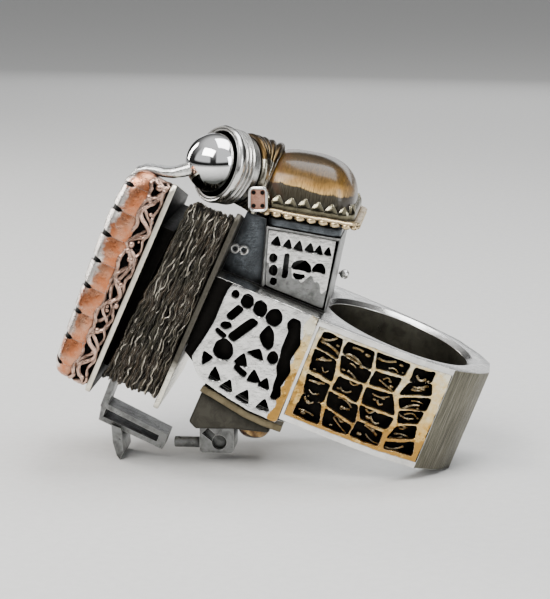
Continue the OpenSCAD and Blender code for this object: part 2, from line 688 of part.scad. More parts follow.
// Drum under the block: its top follows the block's lower edge
drum_left = -18.0;
drum_half = 5.8;
drum_low = [[-9.3, -9.2], [-13.3, -10.4], [-17.1, -12.0], [-18.1, -11.5]];
function drum_edge(d) = [for (p = moved_in(cheek_low, -d)) if (p[0] > drum_left - 0.1 && p[0] < block_right - 0.3) p];
module lower_drum() {
    color(dark_silver) at_rest() slab(-drum_half, drum_half) polygon(concat(drum_edge(gap), drum_low));
}

module lower_wire() {
    wire_t = 0.7;
    low = drum_edge(2.0);
    high = drum_edge(1.2);
    color(brass) at_rest() difference() {
        slab(-drum_half - wire_t, drum_half + wire_t) polygon(concat(
            [low[0] + [-1.6, 0.2]], low, [low[len(low) - 1] + [2.2, 0.1], high[len(high) - 1] + [2.2, 0.1]],
            flip(high), [high[0] + [-1.6, 0.2]]));
        slab(-drum_half - gap, drum_half + gap) polygon([[drum_left - 0.6, -20], [-9.1, -20], [-9.1, 0],
                                                         [drum_left - 0.6, 0]]);
    }
}

module lower_stone() {
    color(tiger_gold) at_rest() translate([-11.35, 0, -9.75]) rotate([0, -16, 0]) mirror([0, 0, 1])
        translate([0, 0, 0.15]) cushion(1.95, 3.6, 0.2, 1.9, 2.6, 2.2, 32, 6);
}

// The cube and the bar stand level on the surface that the ring rests on
cube_at = [-14.6, -13.1];
cube_size = [3.9, 3.5];
module level_at_cube() {
    translate([cube_at[0], 0, cube_at[1]]) rotate([0, -rest_tilt, 0]) children();
}

module foot_cube() {
    half = 2.1;
    color(grey_silver) at_rest() level_at_cube() difference() {
        slab(-half, half) round_rect(cube_size[0], cube_size[1], 0.45);
        for (m = [0, 1]) mirror([0, m, 0]) {
            translate([0.3, -half + 0.5, -0.5]) rotate([90, 0, 0]) cylinder(r = 0.85, h = 2);
            slab(-half - over, -half + 0.45) polygon([[-1.7, 0.5], [-1.0, 1.2], [0.2, 0.1], [-0.4, -0.5]]);
        }
    }
}

module foot_bar() {
    color(silver) at_rest() level_at_cube() translate([-cube_size[0] / 2 - gap - 3.1, 0, -1.05]) rotate([0, 90, 0])
        cylinder(r = 0.62, h = 3.1);
}

// Double strap under the head, its post and the hook that meets the surface
module hook_strap() {
    strap_t = 0.55;
    upper = [[-28.3, -14.3], [-19.9, -15.0]];
    lower = [[-27.9, -15.9], [-19.9, -16.3]];
    post_w = 0.75;
    post_top = head_point(0, leaf_shift - leaf_len / 2)[1] - 0.35;
    tip = [hook_x, floor_z(hook_x)];
    color(silver) at_rest() {
        slab(-strap_y, strap_y) {
            polygon([upper[0], upper[1], upper[1] - [0, strap_t], upper[0] - [0, strap_t]]);
            polygon([lower[0], lower[1], lower[1] - [0, strap_t], lower[0] - [0, strap_t]]);
            polygon([upper[0], [upper[0][0], post_top], [upper[0][0] + post_w, post_top],
                     [upper[0][0] + post_w, lower[0][1] - strap_t], lower[0] - [0, strap_t]]);
            polygon([upper[1], upper[1] - [0.9, 0], lower[1] - [0.9, strap_t], lower[1] - [0, strap_t]]);
        }
        slab(-hook_y, hook_y) polygon([[-26.3, lower[0][1] - 0.3], [-25.1, lower[0][1] - 0.3],
                                       tip + [0.1, 0.9], tip, tip + [-0.55, 0.35], [-25.4, lower[0][1] - 2.2]]);
    }
}

band();
cheek_near();
cheek_far();
relief_near();
relief_far();
neck();
back_plate();
leaf_block();
core();
front_plate();
gallery();
petal_bezel();
face_stone();
turret();
turret_plate_near();
turret_plate_far();
turret_cap();
scallop_wire();
saw_bezel();
dome_stone();
ribbed_sleeve();
ball_cup();
ball();
bridge_strap();
rivet_tab();
granule();
lower_drum();
lower_wire();
lower_stone();
foot_cube();
foot_bar();
hook_strap();
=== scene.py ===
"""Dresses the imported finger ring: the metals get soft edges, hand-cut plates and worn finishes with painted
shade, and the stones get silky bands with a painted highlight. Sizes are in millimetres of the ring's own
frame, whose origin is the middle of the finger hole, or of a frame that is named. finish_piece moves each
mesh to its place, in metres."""
import json
import math
from random import Random

import bmesh
import bpy
from bpy.props import FloatProperty, FloatVectorProperty, IntProperty, PointerProperty
from mathutils import Matrix, Vector, noise


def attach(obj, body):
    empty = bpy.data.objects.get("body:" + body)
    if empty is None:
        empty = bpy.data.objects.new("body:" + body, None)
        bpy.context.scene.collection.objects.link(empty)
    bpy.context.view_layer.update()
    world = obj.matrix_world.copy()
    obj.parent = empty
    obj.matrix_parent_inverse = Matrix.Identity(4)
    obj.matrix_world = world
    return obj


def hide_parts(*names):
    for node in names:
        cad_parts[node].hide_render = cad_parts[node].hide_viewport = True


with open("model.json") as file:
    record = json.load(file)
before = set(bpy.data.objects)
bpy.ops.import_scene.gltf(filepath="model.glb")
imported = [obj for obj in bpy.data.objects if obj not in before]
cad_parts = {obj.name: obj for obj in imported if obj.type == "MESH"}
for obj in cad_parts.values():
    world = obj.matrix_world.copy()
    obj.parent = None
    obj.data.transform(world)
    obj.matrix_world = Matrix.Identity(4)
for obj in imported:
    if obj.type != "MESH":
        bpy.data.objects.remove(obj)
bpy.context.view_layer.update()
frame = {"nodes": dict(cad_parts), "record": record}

bl_info = {
    "name": "Sculptural finger ring",
    "version": (1, 0, 0),
    "blender": (4, 5, 0),
    "location": "View3D > Sidebar > Ring",
    "description": "Dresses the packed finger ring with its finished metals and stones",
    "category": "Add Mesh",
}

MM = 0.001
BODY = "root"
BORE = next(m for m in frame["record"]["mounts"] if m["name"] == "finger_bore")
TILT = math.atan2(BORE["axis"][0], BORE["axis"][2])


# Frames: RING stands in the finger hole, HEAD's z points away from the finger, TOP lies on the turret, and
# FAN stands at the hinge of the sleeve's ribs
def turn(axis, degrees):
    return Matrix.Rotation(math.radians(degrees), 4, axis)


def shift(x, y, z):
    return Matrix.Translation((x, y, z))


RING = Matrix.Translation(BORE["pos_m"]) @ Matrix.Rotation(TILT, 4, "Y") @ Matrix.Scale(MM, 4)
HEAD_LEAN = 2
HEAD = RING @ shift(-21.2, 0, 0.8) @ turn("Y", HEAD_LEAN) @ turn("Y", -90)
TOP_LEFT, TOP_RIGHT = Vector((-18.1, 12.6)), Vector((-10.0, 14.35))
TOP_MIDDLE = (TOP_LEFT + TOP_RIGHT) / 2
TOP_LEAN = math.degrees(math.atan2(TOP_RIGHT.y - TOP_LEFT.y, TOP_RIGHT.x - TOP_LEFT.x))
TOP = RING @ shift(TOP_MIDDLE.x, 0, TOP_MIDDLE.y) @ turn("Y", -TOP_LEAN)
FAN = RING @ shift(-20.1, -6.7, 15.3)
RIB_STEP, RIB_RADIUS, RIB_DROP, RIB_RISE, LAST_RIB = 10, 5.6, 0.35, 0.38, 4
MIRROR_Y = Matrix.Scale(-1, 4, (0, 1, 0))


def fan_place(k):
    """Frame on rib k: z runs out of the cup, and the rib's centre is the origin."""
    radius = RIB_RADIUS - RIB_DROP * k
    return FAN @ shift(0, 0, RIB_RISE * k) @ turn("Z", RIB_STEP * k) @ shift(0, radius, 0) @ turn("Y", -90)


def upright(front_y):
    """Stands a flat plate up with its back at front_y, facing the near side."""
    return Matrix(((1, 0, 0, 0), (0, 0, -1, front_y), (0, 1, 0, 0), (0, 0, 0, 1)))


# Sizes of the band and the head; what a user would change is in the property groups further down
HALF_DEPTH, BAND_TOP, PLATE_THICKNESS = 10.25, 6.0, 0.6
GALLERY_FOOT, PETAL_FOOT = 8.3, 10.15
PETAL_SHIFT, PETAL_CORNER, PETAL_WALL = 0.25, 2.0, 0.6
LEAF_FOOT, LEAF_HEIGHT, LEAF_SHIFT, LEAF_CORNER, LEAF_HINGE = 0.75, 4.75, 0.5, 1.3, 11.5
WIRE_Z, SAW_Z, SAW_HEIGHT, DOME_X, WIRE_X = 1.15, 2.05, 1.5, -0.15, 0.25
SLEEVE_FACE_X, SLEEVE_FOOT_Z = -19.65, 13.25
# How much shorter and less deep than the covers the petals and the leaves are
PETAL_SETBACK, LEAF_SETBACK = 0.4, (2.8, 0.8)
# Heights over the gallery's foot
GALLERY_MIDDLE, FACE_FOOT = 1.05, 0.9
# The bezel and its stone get lower from SLOPE_START down, and round off from ROUND_START up
LOWERED_HEIGHT, SLOPE_START, SLOPE_RUN, SLOPE_DROP = 3.4, 6, 18.7, 1.05
ROUND_START, ROUND_RUN, ROUND_DROP = 6.2, 6.6, 1.5

# The band's side as seen from above: (x, half depth)
BAND_SIDE = ((-8.9, 10.25), (-5.3, 10.2), (-1.5, 10.0), (2.6, 9.5), (6.9, 8.0), (9.7, 4.85), (10.9, 2.35))
# Outlines: (x, z)
CHEEK_EDGE = ((-20.2, -3.1), (-19.7, -4.05), (-18.9, -4.9), (-17.9, -5.4), (-16.2, -5.8), (-14.5, -6.1),
              (-12.4, -6.45), (-10.4, -6.5), (-9.0, -6.3), (-9.0, 5.9), (-19.0, 5.9), (-19.4, 1.0))
TURRET_OUTLINE = ((-15.75, 6.4), (-8.95, 6.4), (-10.38, 13.93), (-17.66, 12.31))
# Shapes of cut-outs, one across and one high
ROUNDED = ((-0.5, -0.1), (-0.22, -0.46), (0.24, -0.5), (0.5, -0.16), (0.44, 0.26), (0.1, 0.5), (-0.3, 0.38))
TRIANGLE = ((-0.5, -0.42), (0.5, -0.5), (0.06, 0.5))
DROP = ((-0.5, 0.02), (0.0, 0.5), (0.42, 0.2), (0.5, -0.32), (0.2, -0.5), (-0.2, -0.36))
SLOT = ((-0.5, -0.38), (-0.3, -0.5), (0.34, -0.48), (0.5, -0.36), (0.46, 0.4), (0.26, 0.5), (-0.34, 0.46),
        (-0.5, 0.36))
HALF_MOON = ((-0.5, -0.34), (-0.44, 0.12), (-0.2, 0.42), (0.18, 0.48), (0.46, 0.12), (0.5, -0.4), (0.0, -0.3))
# Cut-outs of each shape: (x, z, width, height, turn in degrees)
CHEEK_CUTS = (
    (ROUNDED, ((-18.3, 5.1, 0.8, 0.8, 15), (-16.85, 4.85, 1.3, 1.55, 15), (-15.25, 4.6, 1.4, 1.75, 20),
               (-13.5, 4.3, 1.7, 1.8, 5), (-18.0, 1.5, 0.75, 1.1, -75), (-17.35, -1.15, 2.05, 2.15, 20),
               (-12.0, 0.1, 1.1, 1.3, 15))),
    (TRIANGLE, ((-13.8, -0.1, 2.0, 1.0, -4), (-15.05, -1.35, 1.5, 1.4, 5), (-13.2, -2.6, 1.45, 1.35, 20),
                (-11.75, -2.85, 1.25, 1.15, 5), (-18.7, -3.0, 1.15, 1.45, 172), (-17.25, -4.0, 1.3, 1.5, 20),
                (-15.45, -4.65, 1.5, 1.25, 0), (-13.35, -5.05, 1.6, 1.35, -5),
                (-11.05, -5.15, 1.5, 1.25, 10))),
    (SLOT, ((-17.6, 3.15, 0.8, 1.9, -25), (-18.25, 0.45, 0.5, 1.3, 72), (-16.1, 1.75, 0.9, 3.5, -32),
            (-14.75, -2.65, 0.55, 1.5, 70))),
    (DROP, ((-13.4, 1.95, 1.5, 2.6, 12),)),
)
TURRET_CUTS = (
    (TRIANGLE, ((-16.45, 11.5, 1.0, 0.95, 12), (-15.2, 11.7, 0.9, 0.9, 12), (-14.0, 11.95, 0.95, 1.0, 12),
                (-12.8, 12.2, 0.95, 0.9, 12), (-11.8, 12.38, 0.75, 0.85, 12), (-10.82, 12.6, 0.6, 0.75, 12))),
    (SLOT, ((-14.5, 9.3, 0.45, 2.4, 14),)),
    (ROUNDED, ((-16.1, 9.6, 0.75, 0.8, 10), (-15.6, 8.3, 0.8, 1.0, 15), (-15.15, 7.2, 0.6, 0.65, 10))),
    (HALF_MOON, ((-12.9, 9.95, 1.8, 1.15, 12), (-11.0, 10.4, 1.15, 0.95, 15), (-12.75, 8.75, 1.0, 0.5, 192))),
)
# Dark column beside the cheek's gilt border: (x, z, half width)
CHEEK_COLUMN = ((-11.1, 5.0, 0.45), (-11.1, 4.2, 0.8), (-10.75, 3.4, 0.7), (-10.6, 2.6, 0.9),
                (-10.7, 1.5, 0.75), (-10.7, 0.5, 0.6), (-10.45, -0.6, 0.8), (-10.3, -1.6, 0.55),
                (-10.4, -2.6, 0.4), (-10.15, -3.5, 0.5), (-10.35, -4.2, 0.3))
# Columns of the side relief: (middle, width, skew, rows of cells); the wall after BOLD_WALL columns is bold
RELIEF_COLUMNS = ((-6.5, 2.6, 0.3, 4), (-3.2, 3.0, 0.45, 5), (0.5, 3.1, 0.1, 5), (4.25, 2.6, -0.7, 6))
RELIEF_BAR, RELIEF_THICKNESS, BOLD_WALL, WALL_LEAN = 0.27, 0.6, 3, 0.07
RELIEF_LEFT, RELIEF_RIGHT = -8.5, 6.85
# How deep in the band's side the relief's back, the wires and the crumbs lie
RELIEF_DEEP, WIRES_DEEP, CRUMBS_DEEP = 0.58, 0.86, 0.95
# Wires of the gallery: (height over its middle, reach, waves, radius, seed, how far out)
GALLERY_WIRES = ((0.0, 0.85, 26, 0.27, 5, 0.0), (0.1, 0.8, 21, 0.22, 12, -0.05),
                 (-0.7, 0.22, 37, 0.18, 31, 0.05), (0.9, 0.2, 31, 0.24, 8, 0.0))
# Side of the face stone: (inset, height)
FACE_STEPS = ((0, 0), (0, 1.75), (0.06, 2.1), (0.28, 2.55), (0.65, 3.08), (1.2, 3.58), (1.7, 3.9), (2.4, 4.2),
              (3.2, 4.42), (4.2, 4.6), (5.6, 4.74))
FACE_INSET, FACE_CORNER, FACE_TOP = 1.55, 1.6, 4.8
# Section of the cup: (radius, height), with three grooves outside
CUP_PROFILE = ((0, 0.53), (3.7, 0.53), (3.72, 1.3), (4.0, 1.42), (4.16, 1.56), (4.18, 1.7), (4.02, 1.86),
               (4.18, 2.02), (4.2, 2.18), (4.04, 2.34), (4.2, 2.5), (4.22, 2.66), (4.08, 2.82), (4.24, 3.0),
               (4.33, 3.4), (4.3, 3.68), (4.17, 3.84), (4.03, 3.8), (3.96, 3.68), (3.86, 3.82), (3.72, 3.78),
               (3.64, 3.58), (3.72, 3.3), (3.74, 2.1), (3.6, 1.92), (0, 1.92))
BALL_RADIUS, BALL_OUT = 3.32, 3.85
# Strap from the head to the ball: its path is (x, z), and its thickness and width are halves
STRAP_Y, STRAP_THICK, STRAP_WIDE, STRAP_SWELL = -6.6, 0.42, 1.5, 1.1
STRAP_PATH = ((-33.5, 12.3), (-33.2, 13.1), (-32.5, 13.6), (-31.6, 13.8), (-30.6, 13.95), (-29.6, 14.3),
              (-28.6, 14.95), (-27.6, 15.75))
TAB_PLACE, TAB_FRONT, TAB_TURN = (-19.95, 0, 15.2), -7.15, 21.5
NECK_RINGS, NECK_RING_RADIUS, NECK_RING_Y = ((-20.4, 8.8), (-19.45, 9.0)), 0.42, -5.72
LOWER_STONE_PLACE, LOWER_STONE_LEAN = (-11.35, 0, -9.75), -16

# Lights: (name, place in metres, size, power, colour)
SOFTBOXES = (("Key", (-0.12, -0.20, 0.28), (0.26, 0.16), 1.5, (1.0, 0.985, 0.96)),
             ("Top", (0.10, 0.04, 0.32), (0.26, 0.20), 1.1, (0.96, 0.98, 1.0)),
             ("Fill", (0.28, -0.14, 0.10), (0.08, 0.16), 0.28, (0.94, 0.97, 1.0)),
             ("Rim", (-0.26, 0.16, 0.14), (0.08, 0.2), 0.6, (1.0, 0.97, 0.93)),
             ("Back card", (0.05, 0.45, 0.10), (0.42, 0.10), 0.2, (0.97, 0.98, 1.0)))
CAMERA_AIM, CAMERA_AWAY, CAMERA_LENS = Vector((0, 0, 0.0185)), 0.25, 145
CAMERA_AZIMUTH, CAMERA_ELEVATION = math.radians(6), math.radians(11)
# What the metals mirror of the studio: (height, brightness)
SKY = ((0.0, 0.01), (0.3, 0.035), (0.62, 0.22), (0.85, 0.7), (1.0, 0.8))

# Metals: name: (base, colour in recesses, colour of rubbed edges, roughness, what differs from the usual)
METALS = {
    "Polished silver": ("silver", (0.05, 0.047, 0.04), (0.97, 0.96, 0.94), 0.17,
                        dict(spread=0.16, lumps=0.7, bump=0.35, tarnish_and_dark_reflection=0.35)),
    "White pierced silver": ((0.95, 0.945, 0.92), (0.10, 0.093, 0.08), (0.98, 0.98, 0.96), 0.24, dict(
        spread=0.24, lumps=1.5, bump=1.0, recess_mm=0.6, recess_gain=1.3, tarnish_and_dark_reflection=0.42)),
    "Grey brushed silver": ((0.30, 0.305, 0.30), (0.02, 0.02, 0.018), (0.80, 0.79, 0.76), 0.3, dict(
        spread=0.26, lumps=1.4, scratches=1.0, bump=0.9, tarnish_and_dark_reflection=0.85)),
    # Blackened silver is oxide on some parts and painted shade on the black sheets set behind and between
    # others
    "Blackened silver": ("soot", (0.004, 0.004, 0.004), (0.10, 0.09, 0.08), 0.5, dict(
        spread=0.3, lumps=1.6, bump=0.7, edge_gain=0.4, tarnish_and_dark_reflection=0.2)),
    "Blue-grey silver": ((0.13, 0.145, 0.16), (0.012, 0.012, 0.012), (0.72, 0.74, 0.75), 0.24, dict(
        spread=0.28, lumps=2.4, scratches=0.9, bump=1.0, tarnish_and_dark_reflection=0.8)),
    "Half-blackened silver": ((0.36, 0.29, 0.18), (0.012, 0.009, 0.005), (0.9, 0.82, 0.64), 0.22, dict(
        spread=0.25, lumps=2.2, bump=0.8, recess_mm=0.5, recess_gain=1.3, edge_mm=0.04)),
    "Bright cover edges": ((0.92, 0.86, 0.72), (0.05, 0.045, 0.03), (0.97, 0.96, 0.93), 0.34, dict(
        lumps=1.6, bump=0.6, tarnish_and_dark_reflection=0.25)),
    "Worn finger hole": ((0.20, 0.19, 0.155), (0.03, 0.028, 0.02), (0.8, 0.8, 0.78), 0.3, dict(
        spread=0.2, lumps=0.5, bump=0.4, recess_gain=0.8)),
    "Olive silver saw": ((0.30, 0.27, 0.18), (0.02, 0.017, 0.010), (0.88, 0.85, 0.74), 0.14, dict(
        spread=0.12, lumps=1.2, recess_mm=0.7, recess_gain=2.4, edge_mm=0.05)),
    "Olive and silver ribs": ((0.44, 0.41, 0.33), (0.02, 0.016, 0.008), (0.96, 0.95, 0.92), 0.18, dict(
        lumps=1.4, bump=0.5, recess_mm=0.7, recess_gain=2.2, edge_mm=0.04)),
    "Brown ribs": ((0.085, 0.052, 0.020), (0.008, 0.005, 0.002), (0.4, 0.3, 0.16), 0.24, dict(
        lumps=1.4, bump=0.5, tarnish_and_dark_reflection=0.3)),
    "Dark cup": ((0.16, 0.16, 0.16), (0.02, 0.02, 0.02), (0.5, 0.5, 0.5), 0.3, {}),
    "Dark drum": ((0.07, 0.066, 0.055), (0.01, 0.01, 0.008), (0.5, 0.48, 0.42), 0.32, dict(bump=0.7)),
    "Dim brass": ((0.20, 0.165, 0.10), (0.02, 0.015, 0.008), (0.7, 0.62, 0.46), 0.3, dict(bump=0.7)),
    "Cream brass": ((0.80, 0.62, 0.36), (0.12, 0.06, 0.02), (0.98, 0.92, 0.78), 0.24, dict(
        spread=0.2, lumps=1.7, bump=0.5, recess_mm=0.5, recess_gain=1.6, tarnish_and_dark_reflection=0.35, edge_mm=0.05)),
    "Copper and silver scrolls": ((0.70, 0.45, 0.34), (0.03, 0.015, 0.01), (0.96, 0.88, 0.82), 0.2, dict(
        lumps=1.8, bump=0.8, recess_mm=0.8, recess_gain=2.3, edge_mm=0.03)),
    "Pink copper": ((0.60, 0.33, 0.24), (0.10, 0.04, 0.03), (0.96, 0.88, 0.82), 0.26, dict(
        lumps=1.5, bump=0.4)),
    "Bright strands": ((0.68, 0.62, 0.51), (0.03, 0.025, 0.015), (0.95, 0.92, 0.86), 0.24, dict(
        lumps=1.8, bump=0.8, recess_mm=0.4, recess_gain=1.6, edge_mm=0.03)),
}


# Sizes and colours that a user would change
def size(name, default, low, high, text):
    return FloatProperty(name=name, description=text, default=default, min=low, max=high)


def tint(name, colour, text):
    return FloatVectorProperty(name=name, description=text, subtype="COLOR", size=3, default=colour)


class RingHeadSizes(bpy.types.PropertyGroup):
    cover_length: size("Cover length", 25.4, 24, 27, "Length of the front cover, along the finger, in mm")
    cover_depth: size("Cover depth", 20.4, 19, 21, "Depth of the covers, across the finger, in mm")
    slant: size("Slant", 12, 0, 14, "Slant of the head's upper end, in degrees")
    petal_pitch: size("Petal pitch", 3.08, 2.5, 3.6, "Distance between the gaps of two petals, in mm")
    petal_height: size("Petal height", 3.4, 3, 3.7, "Height of the petals, in mm")
    bark_sheets: IntProperty(name="Bark sheets", description="Number of bark-like sheets between the covers",
                             default=24, min=10, max=30)
    bark_wave: size("Bark wave", 0.34, 0, 0.6, "How far the bark-like sheets wander, in mm")


class RingTurretSizes(bpy.types.PropertyGroup):
    depth: size("Turret depth", 12.8, 12, 13.6, "Depth of the turret box, across the finger, in mm")
    dome_length: size("Dome length", 10.1, 9.8, 10.4, "Length of the dome stone, in mm")
    dome_width: size("Dome width", 11.8, 11, 12.4, "Width of the dome stone, in mm")
    dome_height: size("Dome height", 5.8, 5, 6.2, "Height of the dome above its foot, in mm")
    saw_pitch: size("Saw pitch", 1.5, 1, 2, "Distance between two teeth of the saw bezel, in mm")
    bead_pitch: size("Scallop pitch", 1.3, 1, 2, "Distance between two scallops of the brass wire, in mm")


class RingFinishes(bpy.types.PropertyGroup):
    silver: tint("Silver", (0.90, 0.89, 0.86), "Polished silver")
    gilt: tint("Gilt silver", (0.84, 0.64, 0.31), "Gilded borders of the side reliefs")
    copper: tint("Copper", (0.52, 0.175, 0.075), "Copper of the petals")
    bark: tint("Bark bronze", (0.036, 0.032, 0.021), "Dark cast bronze of the sheets")
    # The black of the Blackened silver: oxide, and painted shade where it lines gaps and hollows
    soot: tint("Oxide and painted shade", (0.012, 0.011, 0.010), "Black oxide in the recesses")
    gold_stone: tint("Golden stone", (0.135, 0.072, 0.015), "Main colour of the dome stone")


def head_sizes():
    return bpy.context.scene.ring_head


def finishes():
    return bpy.context.scene.ring_finishes


# Nodes
class Value:
    """A node's output; adding, subtracting, multiplying or dividing it adds a Math node."""

    def __init__(self, nodes, socket):
        self.nodes, self.socket = nodes, socket

    def output(self, name):
        """Another output of the same node."""
        return Value(self.nodes, self.socket.node.outputs[name])

    def clamped(self):
        """Keeps the result of the last Math node between 0 and 1."""
        self.socket.node.use_clamp = True
        return self

    def __add__(self, other):
        return self.nodes.math("ADD", self, other)

    def __sub__(self, other):
        return self.nodes.math("SUBTRACT", self, other)

    def __rsub__(self, other):
        return self.nodes.math("SUBTRACT", other, self)

    def __mul__(self, other):
        return self.nodes.math("MULTIPLY", self, other)

    def __truediv__(self, other):
        return self.nodes.math("DIVIDE", self, other)

    __radd__, __rmul__ = __add__, __mul__


class Nodes:
    """Adds nodes to a tree: an input that is given a Value is linked, any other value is set."""

    def __init__(self, tree):
        self.tree = tree

    def put(self, socket, value):
        if isinstance(value, Value):
            self.tree.links.new(value.socket, socket)
        else:
            socket.default_value = value

    def add(self, kind, inputs=None, output=0, **settings):
        node = self.tree.nodes.new(kind)
        for name, setting in settings.items():
            setattr(node, name, setting)
        for name, value in (inputs or {}).items():
            self.put(node.inputs[name], value)
        return Value(self, node.outputs[output])

    def end(self, kind, value):
        """Links a value to the tree's output node."""
        self.put(self.tree.nodes.new(kind).inputs[0], value)

    def math(self, operation, a, b=0.0):
        return self.add("ShaderNodeMath", {0: a, 1: b}, operation=operation)

    def vector(self, operation, a, b=None, scale=None):
        inputs = {0: a, 1: b, "Scale": scale}
        inputs = {name: value for name, value in inputs.items() if value is not None}
        return self.add("ShaderNodeVectorMath", inputs, operation=operation)

    def axes(self, place):
        x = self.add("ShaderNodeSeparateXYZ", {0: place})
        return x, x.output("Y"), x.output("Z")

    def combine(self, x=0.0, y=0.0, z=0.0):
        return self.add("ShaderNodeCombineXYZ", {0: x, 1: y, 2: z})

    def mix(self, factor, a, b, blend="MIX"):
        """A colour that goes from a to b."""
        a, b = (colour if isinstance(colour, Value) else (*colour, 1) for colour in (a, b))
        return self.add("ShaderNodeMix", {0: factor, 6: a, 7: b}, 2, data_type="RGBA", blend_type=blend)

    def ramp(self, factor, *stops):
        """A colour ramp; each stop is (place, colour or grey value)."""
        value = self.add("ShaderNodeValToRGB", {0: factor})
        elements = value.socket.node.color_ramp.elements
        while len(elements) < len(stops):
            elements.new(0.5)
        for element, (place, colour) in zip(elements, stops):
            element.position = place
            element.color = (*colour, 1) if hasattr(colour, "__len__") else (colour, colour, colour, 1)
        return value

    def noise(self, place, scale, detail=2.0, roughness=0.5, distortion=0.0, output=0):
        return self.add("ShaderNodeTexNoise", {"Vector": place, "Scale": scale, "Detail": detail,
                                               "Roughness": roughness, "Distortion": distortion}, output)

    def fade(self, value, start, end):
        """A mask that goes from 0 where the value is start to 1 where it is end."""
        return self.add("ShaderNodeMapRange", {0: value, 1: start, 2: end})

    def mapped(self, place, **inputs):
        return self.add("ShaderNodeMapping", {"Vector": place, **inputs})

    def coordinates(self, kind="Object"):
        return self.add("ShaderNodeTexCoord", None, kind)

    def millimetres(self):
        """Object coordinates in millimetres."""
        return self.vector("SCALE", self.coordinates(), scale=1 / MM)

    def in_frame(self, place):
        """Object coordinates in millimetres of one of the frames."""
        inverse = place.inverted()
        return self.mapped(self.coordinates(), Location=inverse.to_translation(),
                           Rotation=inverse.to_euler(), Scale=inverse.to_scale())

    def group(self, tree, **values):
        return self.add("ShaderNodeGroup", {name.replace("_", " "): values[name] for name in values},
                        node_tree=tree)


def shader_group(name, inputs, build):
    """A node group, made once; inputs are its numbers by name, and build gives its outputs by name."""
    group = bpy.data.node_groups.get(name)
    if group:
        return group
    group = bpy.data.node_groups.new(name, "ShaderNodeTree")
    nodes = Nodes(group)
    for label, default in inputs.items():
        socket = group.interface.new_socket(label, in_out="INPUT", socket_type="NodeSocketFloat")
        socket.default_value = default
    entry = group.nodes.new("NodeGroupInput").outputs
    results = build(nodes, {label: Value(nodes, entry[label]) for label in inputs})
    for label in results:
        group.interface.new_socket(label, in_out="OUTPUT", socket_type="NodeSocketFloat")
    leave = group.nodes.new("NodeGroupOutput").inputs
    for label, value in results.items():
        nodes.put(leave[label], value)
    return group


# Effects that the finishes share
def build_wear(nodes, ins):
    """Edges rubbed bright, and recesses darkened in blotches, by oxide and painted shade."""
    rounded = nodes.add("ShaderNodeBevel", {"Radius": ins["Edge Radius"]}, samples=6)
    true = nodes.add("ShaderNodeNewGeometry", None, "Normal")
    same = nodes.vector("DOT_PRODUCT", rounded, true).output("Value")
    # Painted shade: recesses darken where little of the sky is open to them, together with the oxide in them
    open_sky = nodes.add("ShaderNodeAmbientOcclusion", {"Distance": ins["Recess Distance"]}, "AO", samples=8)
    blotch = nodes.noise(nodes.millimetres(), 1.7, 4.0, 0.65)
    recess = (1 - open_sky).clamped() * (blotch * 1.1 + 0.45)
    return {"Edge": ((1 - same) * 9).clamped(), "Recess": recess.clamped()}


def build_hand_finish(nodes, ins):
    """The surface that files, hammers and polishing leave: a height and a patchy shine."""
    place = nodes.millimetres()
    lumps = nodes.noise(place, ins["Lumps"], 3.0, 0.55)
    brushed = nodes.mapped(place, Rotation=(0.3, 0.5, 0.2), Scale=(0.6, 9.0, 3.0))
    scratches = nodes.noise(brushed, 1.6, 6.0, 0.7)
    grain = nodes.noise(place, 14.0, 3.0, 0.6)
    return {"Height": lumps + scratches * ins["Scratches"] + grain * 0.12,
            "Patches": lumps * 0.6 + scratches * 0.4}


def hand_finish(nodes, lumps, scratches):
    tree = shader_group("Hand finish", {"Lumps": 0.8, "Scratches": 0.35}, build_hand_finish)
    node = nodes.group(tree, Lumps=lumps, Scratches=scratches)
    return node.output("Height"), node.output("Patches")


def rubbed(nodes, colour, shade, bright, recess_mm, edge_mm, recess_gain, edge_gain):
    """The colour with oxide and painted shade in its recesses and bright edges, and a mask of the recesses.
    """
    tree = shader_group("Worn edges and dark recesses",
                        {"Edge Radius": 0.12 * MM, "Recess Distance": 1.2 * MM}, build_wear)
    wear = nodes.group(tree, Recess_Distance=recess_mm * MM, Edge_Radius=edge_mm * MM)
    dark = (wear.output("Recess") * recess_gain).clamped()
    edge = (wear.output("Edge") * edge_gain).clamped()
    return nodes.mix(edge, nodes.mix(dark, colour, shade), bright), dark


def metallic(colour, roughness, amount=1.0):
    return {"Base Color": colour, "Metallic": amount, "Roughness": roughness}


# Finishes: each gives the surface shader's inputs, a height, and the strength and reach of its bumps in mm
def finish(name, build, *values, **named):
    """The material of that name, built anew each time, so that it follows the sidebar's colours."""
    material = bpy.data.materials.get(name) or bpy.data.materials.new(name)
    material.use_nodes = True
    material.node_tree.nodes.clear()
    nodes = Nodes(material.node_tree)
    inputs, height, strength, reach = build(nodes, *values, **named)
    bumps = {"Height": height, "Strength": strength, "Distance": reach * MM}
    inputs["Normal"] = nodes.add("ShaderNodeBump", bumps)
    nodes.end("ShaderNodeOutputMaterial", nodes.add("ShaderNodeBsdfPrincipled", inputs))
    return material


